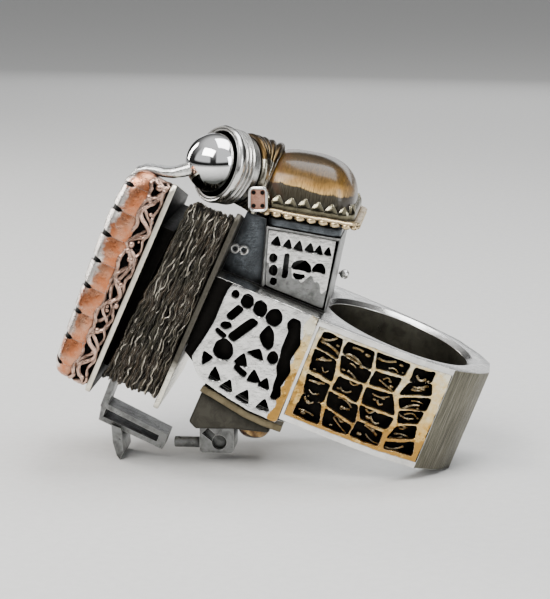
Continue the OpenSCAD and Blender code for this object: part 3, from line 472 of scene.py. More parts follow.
def plain_metal(nodes, base, shade, bright, roughness, spread=0.18, lumps=0.8, scratches=0.35, bump=0.25,
                recess_mm=1.2, recess_gain=1.9, edge_mm=0.1, edge_gain=0.6, tarnish_and_dark_reflection=0.6):
    """A worn metal with a patchy shine and a film that is partly tarnish and partly painted dark reflection.
    """
    height, patches = hand_finish(nodes, lumps, scratches)
    patchy = nodes.mix(patches * 0.5, base, [part * 0.72 for part in base])
    # Painted reflection: dark cloudy patches stand in for the dark surroundings that the metal mirrors, as
    # well as for tarnish
    cloud = nodes.noise(nodes.millimetres(), 0.75, 8.0, 0.68, 0.4)
    film = nodes.ramp(cloud, (0.44, 0.0), (0.62, 1.0)) * tarnish_and_dark_reflection
    filmed = nodes.mix(film, patchy, [0.35 * b + 0.65 * s for b, s in zip(base, shade)])
    colour, dark = rubbed(nodes, filmed, shade, bright, recess_mm, edge_mm, recess_gain, edge_gain)
    rough = patches * spread + (roughness - spread / 2) + dark * 0.35
    return metallic(colour, rough.clamped()), height, bump, 0.08


def metal(name):
    """A finish from METALS; a base colour in words is one of the sidebar's."""
    base, shade, bright, roughness, others = METALS[name]
    base = tuple(getattr(finishes(), base)) if isinstance(base, str) else base
    return finish(name, plain_metal, base, shade, bright, roughness, **others)


def gilt_relief(nodes):
    """Gilding worn to cream in places, a deeper yellow towards the band's lower rim."""
    height, patches = hand_finish(nodes, 1.9, 0.35)
    place = nodes.in_frame(RING)
    level = nodes.axes(place)[2] * -0.07 + nodes.noise(place, 0.7, 5.0, 0.65) * 1.6
    colour = nodes.ramp(level, (0.34, (0.90, 0.84, 0.66)), (0.62, finishes().gilt),
                        (0.95, (0.72, 0.44, 0.12)), (1.0, (0.46, 0.25, 0.06)))
    colour, _ = rubbed(nodes, colour, (0.08, 0.045, 0.01), (1.0, 0.95, 0.82), recess_mm=0.4, edge_mm=0.06,
                       recess_gain=1.6, edge_gain=0.7)
    return metallic(colour, patches * 0.26 + 0.16), height, 0.9, 0.08


def streaked_silver(nodes):
    """Grey-olive silver brushed along the finger's axis, with pale streaks."""
    streak = nodes.noise(nodes.mapped(nodes.in_frame(RING), Scale=(7.0, 7.0, 0.22)), 1.0, 7.0, 0.7, 0.25)
    colour = nodes.ramp(streak, (0.36, (0.05, 0.046, 0.034)), (0.52, (0.14, 0.13, 0.096)),
                        (0.66, (0.27, 0.255, 0.21)), (0.80, (0.70, 0.68, 0.62)))
    colour, _ = rubbed(nodes, colour, (0.02, 0.018, 0.012), (0.93, 0.92, 0.90), recess_mm=0.8,
                       edge_mm=0.12, recess_gain=1.5, edge_gain=0.8)
    return metallic(colour, streak * 0.3 + 0.2), streak, 0.6, 0.08


def copper_petals(nodes):
    """Copper that turns white towards the petals' outer edges, partly white silver and partly a painted
    highlight.
    """
    height, patches = hand_finish(nodes, 1.5, 0.3)
    place = nodes.in_frame(HEAD)
    patch = nodes.noise(place, 0.55, 4.0, 0.6)
    # Painted highlight: the colour turns white above a height, for white silver and for the light on the
    # petals' upturned tips
    polished = nodes.fade(nodes.axes(place)[2] + (patch - 0.5) * 3.6, PETAL_FOOT + 1.9, PETAL_FOOT + 2.6)
    rosy = nodes.mix(nodes.ramp(patch, (0.4, 0.0), (0.65, 1.0)), finishes().copper, (0.62, 0.34, 0.22))
    colour = nodes.mix(polished, rosy, (0.90, 0.85, 0.80))
    colour, _ = rubbed(nodes, colour, (0.09, 0.03, 0.018), (0.96, 0.86, 0.78), recess_mm=0.9,
                       edge_mm=0.05, recess_gain=1.9, edge_gain=0.6)
    return metallic(colour, patches * 0.26 + 0.15), height, 0.9, 0.08


def back_cover(nodes):
    """Silver painted nearly black as painted shade, with painted light towards the head's lower end."""
    height, patches = hand_finish(nodes, 1.8, 0.8)
    along = nodes.axes(nodes.in_frame(HEAD))[0] + patches * 1.5
    # Painted light: lit brightens the cover towards the head's lower end; the near-black colour elsewhere is
    # painted shade
    lit = nodes.fade(along, -4.6, -6.2)
    base = nodes.mix(patches, (0.035, 0.032, 0.024), (0.14, 0.13, 0.11))
    colour = nodes.mix(lit, base, (0.84, 0.80, 0.68))
    colour, _ = rubbed(nodes, colour, (0.01, 0.01, 0.01), (0.6, 0.58, 0.5), recess_mm=0.8, edge_mm=0.1,
                       recess_gain=0.0, edge_gain=0.25)
    return metallic(colour, 0.42 - lit * 0.2), height, 0.7, 0.08


def bark_bronze(nodes):
    """Olive-brown cast strands with rubbed, silvery crests."""
    place = nodes.in_frame(HEAD)
    fibre = nodes.noise(nodes.mapped(place, Scale=(0.35, 1.6, 3.4)), 1.5, 7.0, 0.72, 0.8)
    patch = nodes.noise(place, 0.33, 3.0)
    base = nodes.ramp(fibre, (0.34, (0.008, 0.007, 0.005)), (0.52, finishes().bark),
                      (0.66, (0.10, 0.092, 0.062)), (0.82, (0.42, 0.40, 0.31)))
    brown = nodes.mix(0.3, base, (0.13, 0.08, 0.05))
    colour = nodes.mix(nodes.ramp(patch, (0.42, 0.0), (0.62, 1.0)), base, brown)
    colour, _ = rubbed(nodes, colour, (0.006, 0.005, 0.004), (0.78, 0.74, 0.66), recess_mm=0.5,
                       edge_mm=0.03, recess_gain=2.0, edge_gain=patch * 1.2)
    return metallic(colour, 0.72 - fibre * 0.55, 0.85), fibre, 0.9, 0.22


def mirror_ball(nodes, centre):
    """A mirror polish whose lower half is painted dark grey, a painted shade and painted dark reflection of
    the cup; centre is in millimetres.
    """
    height, patches = hand_finish(nodes, 0.25, 0.1)
    level = nodes.axes(nodes.millimetres())[2] + patches * 1.2
    # Painted shade: below about the ball's middle the colour is painted dark grey, standing in for the cup's
    # shade and the dark that the ball mirrors
    polished = nodes.fade(level, centre.z - 0.9, centre.z + 0.5)
    colour = nodes.mix(polished, (0.07, 0.075, 0.07), (0.94, 0.94, 0.94))
    return metallic(colour, 0.06), height, 0.04, 0.08


def tiger_eye(nodes, place, low, band, crown, right_end):
    """Silky golden-brown bands, one of them a painted highlight, with fine fibres across them, under a glassy
    polish.

    low, band and crown are the heights, in the stone's own frame, of the grey foot's top, the top of the
    painted highlight band and the crown; right_end is where the glassy grey end begins.
    """
    place = nodes.in_frame(place)
    x, y, z = nodes.axes(place)
    wander = nodes.noise(place, 0.28, 3.0, 0.55)
    fibre = nodes.noise(nodes.mapped(place, Scale=(7.0, 2.2, 0.5)), 1.1, 5.0, 0.68, 0.5)
    level = z + x * 0.07 + (wander - 0.5) * 1.5 + (fibre - 0.5) * 0.5
    foot = low - 2.0
    share = nodes.fade(level, foot, crown)
    # Painted highlight: the light stripe from low up to band stands in for the light on the stone
    heights = ((low - 1.6, (0.035, 0.03, 0.02)), (low - 0.12, (0.055, 0.048, 0.034)),
               (low, (0.58, 0.36, 0.13)), (band - 0.25, (0.34, 0.18, 0.045)),
               (band + 0.25, finishes().gold_stone), ((band + crown) / 2, (0.085, 0.045, 0.010)),
               (crown - 0.1, (0.028, 0.018, 0.007)))
    bands = nodes.ramp(share, *(((height - foot) / (crown - foot), colour) for height, colour in heights))
    streak = nodes.ramp(fibre, (0.33, 0.45), (0.5, 0.95), (0.68, 1.5))
    colour = nodes.mix(1.0, bands, streak, "MULTIPLY")
    stripes = nodes.math("SINE", (x + z * 0.8) * 4.2 + wander * 5.0)
    left = nodes.fade(x, right_end - 6.3, right_end - 8.2)
    colour = nodes.mix(((stripes + 1.0) * 0.42 * left).clamped(), colour, (0.075, 0.028, 0.012))
    end = nodes.fade(x + wander, right_end, right_end + 1.4)
    colour = nodes.mix(end * 0.75, colour, (0.10, 0.085, 0.075))
    gloss = {"Coat Weight": 0.15, "Coat Roughness": 0.03, "Specular IOR Level": 0.3}
    return {**metallic(colour, fibre * 0.2 + 0.12, 0.0), **gloss}, fibre, 0.12, 0.05


def floor_paper(nodes):
    grain = nodes.noise(nodes.coordinates(), 900.0, 3.0)
    colour = nodes.ramp(grain, (0.3, (0.70, 0.695, 0.68)), (0.7, (0.74, 0.735, 0.72)))
    return metallic(colour, 0.85, 0.0), grain, 0.05, 0.02


# Meshes
def link(name, data):
    obj = bpy.data.objects.new(name, data)
    bpy.context.scene.collection.objects.link(obj)
    return obj


def discard(*objects):
    for obj in objects:
        bpy.data.objects.remove(obj, do_unlink=True)


def mesh_from(bm, name="Work"):
    mesh = bpy.data.meshes.new(name)
    bm.to_mesh(mesh)
    bm.free()
    return mesh


def baked(obj):
    """A plain mesh of an object's evaluated shape; the object is removed."""
    graph = bpy.context.evaluated_depsgraph_get()
    mesh = bpy.data.meshes.new_from_object(obj.evaluated_get(graph))
    discard(obj)
    return mesh


def joined(*parts):
    """One mesh from several; each part is a mesh, or a bmesh that is used up."""
    bm = bmesh.new()
    for part in parts:
        bm.from_mesh(part if isinstance(part, bpy.types.Mesh) else mesh_from(part))
    return mesh_from(bm)


def finish_piece(name, mesh, place, material, nodes, merge=0.0004, sharp=40):
    """Puts a piece at its place in the ring, in metres, ties it to the body and hides the CAD nodes that it
    stands in for.

    Its faces are smooth, with crisp edges where the surface turns by more than sharp degrees.
    """
    bm = bmesh.new()
    bm.from_mesh(mesh)
    bmesh.ops.remove_doubles(bm, verts=bm.verts, dist=merge)
    bmesh.ops.recalc_face_normals(bm, faces=bm.faces)
    bmesh.ops.transform(bm, matrix=place, verts=bm.verts)
    if place.determinant() < 0:
        bmesh.ops.reverse_faces(bm, faces=bm.faces)
    for face in bm.faces:
        face.smooth = True
    for edge in bm.edges:
        edge.smooth = len(edge.link_faces) != 2 or edge.calc_face_angle(0) < math.radians(sharp)
    mesh = mesh_from(bm, name)
    if not mesh.polygons:
        raise RuntimeError(f"{name} came out empty")
    mesh.materials.clear()
    mesh.materials.append(material)
    piece = link(name, mesh)
    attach(piece, BODY)
    if nodes:
        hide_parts(*nodes)
    return piece


def both_sides(name, mesh, place, material, node):
    """A piece on the near side and its mirror image on the far side; node begins their nodes' names."""
    pieces = []
    for side, mirror in (("near", Matrix()), ("far", MIRROR_Y)):
        nodes = [f"{node}_{side}"] if node else ()
        there = RING @ mirror @ place
        pieces.append(finish_piece(f"{name}_{side}", mesh.copy(), there, material, nodes))
    return pieces


def trimmed_node(name, width, material, angle=30):
    """The CAD node of the same name with its edges rounded where it turns by more than angle degrees."""
    bm = bmesh.new()
    bm.from_mesh(frame["nodes"][name.lower()].data)
    bmesh.ops.transform(bm, matrix=RING.inverted(), verts=bm.verts)
    bmesh.ops.remove_doubles(bm, verts=bm.verts, dist=0.003)
    bmesh.ops.dissolve_limit(bm, angle_limit=math.radians(1.0), verts=bm.verts, edges=bm.edges)
    edges = [e for e in bm.edges if len(e.link_faces) == 2 and e.calc_face_angle(0) > math.radians(angle)]
    bmesh.ops.bevel(bm, geom=edges, offset=width, segments=3, profile=0.6, affect="EDGES",
                    clamp_overlap=True)
    return finish_piece(name, mesh_from(bm), RING, material, [name.lower()])


def dress(node, material):
    """Gives a CAD node that stays its material."""
    for slot in frame["nodes"][node].material_slots:
        slot.material = material


def paint(piece, materials, choose):
    """Adds materials and gives each face the one that choose names by its middle and its normal, in
    millimetres of the ring's frame; 0 keeps the first."""
    for material in materials:
        piece.data.materials.append(material)
    to_ring = RING.inverted()
    for polygon in piece.data.polygons:
        normal = (to_ring.to_3x3() @ polygon.normal).normalized()
        polygon.material_index = choose(to_ring @ polygon.center, normal)


def skinned(rows, closed=False, caps=True):
    """A skin over rows of points, each a loop or a single tip; closed joins the last row to the first,
    and otherwise caps close the two end rows."""
    bm = bmesh.new()
    rows = [[bm.verts.new(spot) for spot in row] for row in rows]
    for low, high in zip(rows, rows[1:] + rows[:1] if closed else rows[1:]):
        count = max(len(low), len(high))
        for i in range(count):
            j = (i + 1) % count
            corners = (low[i % len(low)], low[j % len(low)], high[j % len(high)], high[i % len(high)])
            bm.faces.new(list(dict.fromkeys(corners)))
    for row in (rows[0], rows[-1]):
        if caps and not closed and len(row) > 1:
            bm.faces.new(row)
    bmesh.ops.recalc_face_normals(bm, faces=bm.faces)
    return bm


def prism(loop, z0, z1):
    """A straight solid over a closed flat outline."""
    return skinned([[(spot[0], spot[1], z) for spot in loop] for z in (z0, z1)])


def circle(radius, steps, wide=1.0, start=0.0):
    """Points round a circle, or an ellipse that is wider in its first direction."""
    angles = [2 * math.pi * (k + start) / steps for k in range(steps)]
    return [(wide * radius * math.cos(a), radius * math.sin(a)) for a in angles]


def lathe(profile, steps=96):
    """A closed solid of revolution about z from (radius, z) pairs that begin and end on the axis."""
    return skinned([[(x, y, z) for x, y in circle(radius, steps)] if radius else [(0, 0, z)]
                    for radius, z in profile])


def sweep(path, section, closed=True, swell=0.0):
    """A tube along points; section is (out, across) pairs, across lying as near y as the path allows, and
    swell is how much farther out the last section reaches than the first."""
    rows = []
    n = len(path)
    for i, spot in enumerate(path):
        before = path[(i - 1) % n] if closed or i else spot
        after = path[(i + 1) % n] if closed or i < n - 1 else spot
        ahead = (Vector(after) - Vector(before)).normalized()
        out = ahead.cross(Vector((0, 1, 0))).normalized()
        across = out.cross(ahead)
        grow = 1 + swell * (i / n) ** 2
        rows.append([Vector(spot) + out * far * grow + across * wide for far, wide in section])
    return skinned(rows, closed)


def power(part, n):
    """Puffs a sine or a cosine up, so that its circle turns into a superellipse of degree n."""
    return math.copysign(abs(part) ** (2 / n), part)


def cushion(a, b, girdle, high, plan_n, side_n, around=144, steps=44):
    """A smooth stone: a superellipse in plan, straight for the girdle's height, then curving to its crown."""
    levels = [(1.0, 0.0)]
    for j in range(steps):
        q = math.pi / 2 * j / steps
        levels.append((power(math.cos(q), side_n), girdle + (high - girdle) * power(math.sin(q), side_n)))
    plan = [(a * power(c, plan_n), b * power(s, plan_n)) for c, s in circle(1, around, 1, 0.5)]
    rows = [[(x * scale, y * scale, z) for x, y in plan] for scale, z in levels]
    return skinned(rows + [[(0, 0, high)]])


def round_lump(centre, size, detail=2):
    bm = bmesh.new()
    bmesh.ops.create_icosphere(bm, subdivisions=detail, radius=1.0)
    bmesh.ops.transform(bm, matrix=shift(*centre) @ Matrix.Diagonal((*size, 1)), verts=bm.verts)
    return bm


def cut_off(bm, point, normal):
    """Cuts away what lies on the normal's side of a plane and closes the cut."""
    parts = bm.verts[:] + bm.edges[:] + bm.faces[:]
    cut = bmesh.ops.bisect_plane(bm, geom=parts, plane_co=point, plane_no=normal, clear_outer=True)
    edges = [part for part in cut["geom_cut"] if isinstance(part, bmesh.types.BMEdge)]
    bmesh.ops.holes_fill(bm, edges=edges, sides=0)


def cut_plate(outline, holes, thickness, voxel=0.1, rounds=3):
    """A flat plate with cut-outs, x and y along it and z from 0 at its back, melted into one skin with
    softly rounded edges, as casting and polishing leave it."""
    plate = link("Plate", mesh_from(prism(outline, 0, thickness)))
    if holes:
        cutter = link("Cutter", joined(*(prism(hole, -1, thickness + 1) for hole in holes)))
        cut = plate.modifiers.new("Cut", "BOOLEAN")
        cut.object = cutter
        cut.operation = "DIFFERENCE"
        cut.solver = "EXACT"
        cut.use_self = True
        plate = link("Plate", baked(plate))
        discard(cutter)
    bm = bmesh.new()
    bm.from_mesh(plate.data)
    discard(plate)
    bmesh.ops.triangulate(bm, faces=bm.faces)
    cast = link("Cast", mesh_from(bm))
    skin = cast.modifiers.new("Skin", "REMESH")
    skin.mode = "VOXEL"
    skin.voxel_size = voxel
    soft = cast.modifiers.new("Soft", "SMOOTH")
    soft.factor = 0.5
    soft.iterations = rounds
    return baked(cast)


def unevenness(mesh, amount, size, seed=0.0):
    """Moves the surface in and out by noise, so that no face is machine flat."""
    mesh.update()
    normals = [vertex.normal.copy() for vertex in mesh.vertices]
    for vertex, normal in zip(mesh.vertices, normals):
        spot = vertex.co / size + Vector((seed, seed, seed))
        vertex.co = vertex.co + normal * (amount * noise.noise(spot))
    return mesh


# Outlines
def smooth_loop(points, steps=5, keep=0.5):
    """A closed outline through the points, rounded; keep is how closely it holds to straight sides."""
    loop = []
    n = len(points)
    for i in range(n):
        before, a, b, after = (Vector(points[(i + k) % n]) for k in (-1, 0, 1, 2))
        out_a, in_b = (b - before) * (1 - keep) / 2, (after - a) * (1 - keep) / 2
        for j in range(steps):
            t = j / steps
            h = (2 * t ** 3 - 3 * t ** 2 + 1, t ** 3 - 2 * t ** 2 + t,
                 3 * t ** 2 - 2 * t ** 3, t ** 3 - t ** 2)
            loop.append(a * h[0] + out_a * h[1] + b * h[2] + in_b * h[3])
    return loop


def head_loop(length, depth, inset, radius, slide=0.0, side_steps=48, corner_steps=10):
    """The head's outline, counterclockwise from the start of its near side: a rounded rectangle whose
    upper end slants, slid along x."""
    t = math.tan(math.radians(head_sizes().slant))
    m = inset + radius
    w = m * math.sqrt(1 + t * t)
    left, near, far = -length / 2 + m, -depth / 2 + m, depth / 2 - m
    corners = [Vector((left, near)), Vector((length / 2 - t * m - w, near)),
               Vector((length / 2 - t * (depth - m) - w, far)), Vector((left, far))]
    loop = []
    for k in range(4):
        a, b, c = corners[k], corners[(k + 1) % 4], corners[(k + 2) % 4]
        first, second = math.atan2(b.y - a.y, b.x - a.x), math.atan2(c.y - b.y, c.x - b.x)
        bend = (second - first) % (2 * math.pi)
        side = Vector((math.sin(first), -math.cos(first))) * radius
        loop += [a.lerp(b, i / side_steps) + side for i in range(side_steps)]
        angles = [first + bend * i / corner_steps for i in range(corner_steps)]
        loop += [b + Vector((math.sin(angle), -math.cos(angle))) * radius for angle in angles]
    return [spot + Vector((slide, 0)) for spot in loop]


def rounded_loop(length, depth, radius, slide=0.0, steps=8):
    """A rounded rectangle, counterclockwise, slid along x."""
    loop = []
    for k, (sx, sy) in enumerate(((1, -1), (1, 1), (-1, 1), (-1, -1))):
        centre = Vector((sx * (length / 2 - radius) + slide, sy * (depth / 2 - radius)))
        angles = [math.pi / 2 * (k + i / steps) for i in range(steps + 1)]
        loop += [centre + Vector((math.sin(a), -math.cos(a))) * radius for a in angles]
    return loop


def cut_loops(cuts, seed, grow):
    """Rounded, slightly uneven loops for a plate's cut-outs, grown a little by a factor."""
    chance = Random(seed)
    loops = []
    for shape, rows in cuts:
        hold = 0.62 if shape in (TRIANGLE, SLOT) else 0.35
        for x, z, wide, high, degrees in rows:
            c, s = math.cos(math.radians(degrees)), math.sin(math.radians(degrees))
            spots = []
            for px, pz in shape:
                px = px * (wide * grow + 0.1) + chance.uniform(-0.03, 0.03)
                pz = pz * (high * grow + 0.1) + chance.uniform(-0.03, 0.03)
                spots.append((x + px * c - pz * s, z + px * s + pz * c))
            loops.append(smooth_loop(spots, 5, hold))
    return loops


# Geometry Nodes
def geometry_tree(name, inputs):
    """A new tree and its inputs, each given as (name, socket kind, default)."""
    tree = bpy.data.node_groups.new(name, "GeometryNodeTree")
    for way in ("INPUT", "OUTPUT"):
        tree.interface.new_socket("Geometry", in_out=way, socket_type="NodeSocketGeometry")
    for label, kind, default in inputs:
        socket = tree.interface.new_socket(label, in_out="INPUT", socket_type="NodeSocket" + kind)
        if default is not None:
            socket.default_value = default
    nodes = Nodes(tree)
    entry = tree.nodes.new("NodeGroupInput").outputs
    return nodes, {label: Value(nodes, entry[label]) for label, kind, default in inputs}


def finish_tree(nodes, geometry, material):
    done = nodes.add("GeometryNodeSetMaterial", {"Geometry": geometry, "Material": material})
    nodes.end("NodeGroupOutput", done)
    return nodes.tree


def run_tree(tree, path, **values):
    """Runs a tree round a closed outline, given as (points, z), and gives the plain mesh that comes out."""
    points, z = path
    curve = bpy.data.curves.new("Path", "CURVE")
    curve.dimensions = "3D"
    spline = curve.splines.new("POLY")
    spline.points.add(len(points) - 1)
    for point, spot in zip(spline.points, points):
        point.co = (spot[0], spot[1], z, 1)
    spline.use_cyclic_u = True
    values["Path"] = link("Path", curve)
    host = link("Host", bpy.data.meshes.new("Host"))
    modifier = host.modifiers.new("Nodes", "NODES")
    modifier.node_group = tree
    for item in tree.interface.items_tree:
        if item.in_out == "INPUT" and item.name.replace(" ", "_") in values:
            modifier[item.identifier] = values[item.name.replace(" ", "_")]
    mesh = baked(host)
    discard(values["Path"])
    return mesh


def row_tree():
    """A row of one part bent along a closed path: x along the path, y outwards, z up."""
    nodes, ins = geometry_tree("Row along a path", (
        ("Path", "Object", None), ("Part", "Object", None), ("Count", "Int", 20),
        ("Part Width", "Float", 1.0), ("Start", "Float", 0.0), ("Uneven", "Float", 0.05), ("Seed", "Int", 1),
        ("Material", "Material", None)))
    path = nodes.add("GeometryNodeObjectInfo", {"Object": ins["Path"]}, "Geometry")
    part = nodes.add("GeometryNodeObjectInfo", {"Object": ins["Part"]}, "Geometry")
    length = nodes.add("GeometryNodeCurveLength", {0: path})
    pitch = length / ins["Count"]
    line = nodes.add("GeometryNodeMeshLine", {
        "Count": ins["Count"], "Start Location": nodes.combine(ins["Start"]), "Offset": nodes.combine(pitch)},
        mode="OFFSET")
    limits = {2: 1 - ins["Uneven"], 3: 1 + ins["Uneven"]}
    tall = nodes.add("FunctionNodeRandomValue", {**limits, "Seed": ins["Seed"]}, 1, data_type="FLOAT")
    scale = nodes.combine(pitch / ins["Part Width"], tall, tall)
    row = nodes.add("GeometryNodeInstanceOnPoints", {"Points": line, "Instance": part, "Scale": scale})
    row = nodes.add("GeometryNodeRealizeInstances", {0: row})
    x, y, z = nodes.axes(nodes.add("GeometryNodeInputPosition"))
    along = nodes.add("ShaderNodeMath", {0: x, 1: length, 2: 0.0}, operation="WRAP")
    sample = nodes.add("GeometryNodeSampleCurve", {"Curves": path, "Length": along}, "Position",
                       mode="LENGTH")
    outwards = nodes.vector("NORMALIZE", nodes.vector("CROSS_PRODUCT", sample.output("Tangent"), (0, 0, 1)))
    place = nodes.vector("ADD", sample, nodes.vector("SCALE", outwards, scale=y))
    place = nodes.vector("ADD", place, nodes.combine(z=z))
    bent = nodes.add("GeometryNodeSetPosition", {"Geometry": row, "Position": place})
    return finish_tree(nodes, bent, ins["Material"])


def row_along(points, z, part_mesh, pitch, material, start, uneven, seed):
    """A row of parts round a closed outline at a height, as many as fit at about their pitch."""
    tree = bpy.data.node_groups.get("Row along a path") or row_tree()
    around = sum((a - b).length for a, b in zip(points, points[1:] + points[:1]))
    part = link("Part", part_mesh)
    mesh = run_tree(tree, (points, z), Part=part, Count=round(around / pitch), Part_Width=pitch, Start=start,
                    Uneven=uneven, Seed=seed, Material=material)
    discard(part)
    return mesh


def bark_tree():
    """Flattened strands round a closed path, one above another, that fan out and wander."""
    nodes, ins = geometry_tree("Bark sheets", (
        ("Path", "Object", None), ("Count", "Int", 20), ("Foot", "Float", 0.9), ("Height", "Float", 5.0),
        ("Fan", "Float", 0.06), ("Hinge", "Float", 11.0), ("Thickness", "Float", 0.2), ("Wave", "Float", 0.3),
        ("Seed", "Float", 1.0), ("Material", "Material", None)))
    path = nodes.add("GeometryNodeObjectInfo", {"Object": ins["Path"]}, "Geometry")
    path = nodes.add("GeometryNodeResampleCurve", {"Curve": path, "Length": 0.28}, mode="LENGTH")
    rise = nodes.combine(z=ins["Height"] / (ins["Count"] - 1))
    line = nodes.add("GeometryNodeMeshLine", {"Count": ins["Count"], "Offset": rise}, mode="OFFSET")
    aside = nodes.add("FunctionNodeRandomValue", {2: -0.35, 3: 0.35, "Seed": 5}, 1, data_type="FLOAT")
    jitter = nodes.combine(aside, aside * 0.6)
    line = nodes.add("GeometryNodeSetPosition", {"Geometry": line, "Offset": jitter})
    stack = nodes.add("GeometryNodeInstanceOnPoints", {"Points": line, "Instance": path})
    stack = nodes.add("GeometryNodeRealizeInstances", {0: stack})
    where = nodes.add("GeometryNodeInputPosition")
    x, y, z = nodes.axes(where)
    level = ins["Foot"] + z * (1 + (ins["Hinge"] - x) * ins["Fan"])

    def wander(stretch, offset, detail, roughness):
        """Noise round zero in each direction."""
        spot = nodes.vector("ADD", nodes.vector("MULTIPLY", where, stretch), offset)
        clouds = nodes.noise(spot, 1.0, detail, roughness, output="Color")
        return nodes.vector("SUBTRACT", clouds, (0.5, 0.5, 0.5))

    wave = ins["Wave"]
    swirl = nodes.vector("MULTIPLY", wander((0.34, 0.34, 1.1), nodes.combine(ins["Seed"]), 2.5, 0.55),
                         nodes.combine(wave * 2.0, wave * 2.0, wave * 2.4))
    curls = nodes.vector("SCALE", wander((1.0, 1.0, 2.6), nodes.combine(y=ins["Seed"]), 1.5, 0.5),
                         scale=wave * 1.9)
    place = nodes.vector("ADD", nodes.combine(x, y, level), nodes.vector("ADD", swirl, curls))
    waved = nodes.add("GeometryNodeSetPosition", {"Geometry": stack, "Position": place})
    standing = nodes.add("GeometryNodeSetCurveNormal", {"Curve": waved}, mode="Z_UP")
    knots = nodes.noise(nodes.vector("MULTIPLY", where, (0.8, 0.8, 3.0)), 1.0)
    thick = ins["Thickness"] * (0.25 + knots * 1.6)
    profile = nodes.add("GeometryNodeCurvePrimitiveCircle", {"Resolution": 7, "Radius": 1.0}, mode="RADIUS")
    profile = nodes.add("GeometryNodeTransform", {"Geometry": profile, "Scale": (1.7, 1.0, 1.0)})
    strands = nodes.add("GeometryNodeCurveToMesh",
                        {"Curve": standing, "Profile Curve": profile, "Scale": thick})
    return finish_tree(nodes, strands, ins["Material"])


# Parts that repeat
def leaf_part(rows, across, wall):
    """A closed leaf from rows of (height, half width, outward, crown): crowned in front, flat behind."""
    loops = []
    for height, half, outward, crown in rows:
        spots = [2 * i / across - 1 for i in range(across + 1)]
        front = [(u * half, outward + crown * (1 - u * u), height) for u in spots]
        loops.append(front + [(u * half, outward - wall, height) for u in reversed(spots)])
    bm = skinned(loops, caps=False)
    bm.verts.ensure_lookup_table()
    for row in (bm.verts[:len(loops[0])], bm.verts[-len(loops[0]):]):
        for i in range(across):
            bm.faces.new((row[i], row[i + 1], row[-2 - i], row[-1 - i]))
    bmesh.ops.recalc_face_normals(bm, faces=bm.faces)
    return bm


def petal_reach(v):
    """How far a petal stands out at a share v of its height: full below, rounded in at its tip."""
    if v < 0.7:
        return 0.20 * math.sin(math.pi * v / 0.7) ** 0.8
    return -1.3 * ((v - 0.7) / 0.3) ** 1.9


def petal_part(width, high, steps=18, parting=0.56):
    """One folded petal, parted from its neighbours above the share of its height that parting gives."""
    rows = []
    for i in range(steps + 1):
        v = i / steps
        narrow = 0.015
        if v >= parting:
            narrow += 0.24 * min(1, (v - parting) / 0.12) + 0.10 * ((v - parting) / (1 - parting)) ** 2
        crown = 0.06 + 0.05 * math.sin(math.pi * min(1, v * 1.1))
        rows.append((v * high, width / 2 - narrow, petal_reach(v) - 0.06, crown))
    return mesh_from(leaf_part(rows, 12, PETAL_WALL))


def gap_shade_part(high):
    """A dark strip of painted shade between two petals."""
    shares = [0.5 + 0.44 * i / 8 for i in range(9)]
    return mesh_from(leaf_part([(v * high, 0.36, petal_reach(v) - 0.3, 0.0) for v in shares], 2, 0.4))


def tooth_part(width):
    """One tooth of the saw bezel: a low wall with a point that leans on the stone."""
    rows = []
    for i in range(9):
        z = SAW_HEIGHT * i / 8
        tooth = max(0.0, (z - 0.55) / (SAW_HEIGHT - 0.55))
        rows.append((z, width / 2 * (1 - 0.86 * tooth ** 1.4), -0.06 - 0.42 * tooth ** 1.6, 0.05))
    return mesh_from(leaf_part(rows, 6, 0.32))


def scallop_part(width):
    """One lobe of the brass wire with a grain over it, hanging under a plain strip."""
    levels = ((0.5, -0.16), (0.58, -0.03), (0.76, -0.03), (0.85, -0.14))
    strip = leaf_part([(height, width / 2, outward, 0) for height, outward in levels], 2, 0.85)
    return joined(strip, round_lump((0, -0.38, 0.36), (width * 0.46, 0.42, 0.36), 3),
                  round_lump((0, -0.06, 0.68), (0.2, 0.12, 0.12)))


def lowered(mesh):
    """Lets the bezel and its stone get lower towards the head's lower end and round off at its upper end."""
    for vertex in mesh.vertices:
        x, y, z = vertex.co
        share = min(max((z - PETAL_FOOT) / LOWERED_HEIGHT, 0), 1.25)
        end = min(max((x - ROUND_START) / ROUND_RUN, 0), 1)
        drop = SLOPE_DROP * max(0, SLOPE_START - x) / SLOPE_RUN
        drop += ROUND_DROP * (1 - math.sqrt(1 - 0.99 * end * end))
        vertex.co.z = z - share * drop
    return mesh


def wandering_wire(outline, z, reach, waves, radius, seed, out):
    """A closed wire that follows an outline and swings up and down unevenly."""
    chance = Random(seed)
    shifts = [chance.uniform(-0.9, 0.9) for k in range(waves)]
    tall = [chance.uniform(0.55, 1.1) for k in range(waves)]
    n = len(outline)
    spots = []
    for i, spot in enumerate(outline):
        at = waves * i / n
        k, after_k = int(at) % waves, (int(at) + 1) % waves
        blend = at - int(at)
        phase = 2 * math.pi * at + shifts[k] * (1 - blend) + shifts[after_k] * blend
        grow = tall[k] * (1 - blend) + tall[after_k] * blend
        before, after = outline[i - 1], outline[(i + 1) % n]
        side = Vector((after.y - before.y, before.x - after.x)).normalized()
        there = spot + side * (out + 0.12 * math.sin(phase * 0.5 + seed))
        spots.append((there.x, there.y, z + reach * grow * math.sin(phase)))
    return sweep(spots, circle(radius, 7))


def side_y(x):
    """Half depth of the band at x."""
    for (x0, y0), (x1, y1) in zip(BAND_SIDE, BAND_SIDE[1:]):
        if x <= x1:
            return y0 + (y1 - y0) * max(x - x0, 0) / (x1 - x0)
    return BAND_SIDE[-1][1]


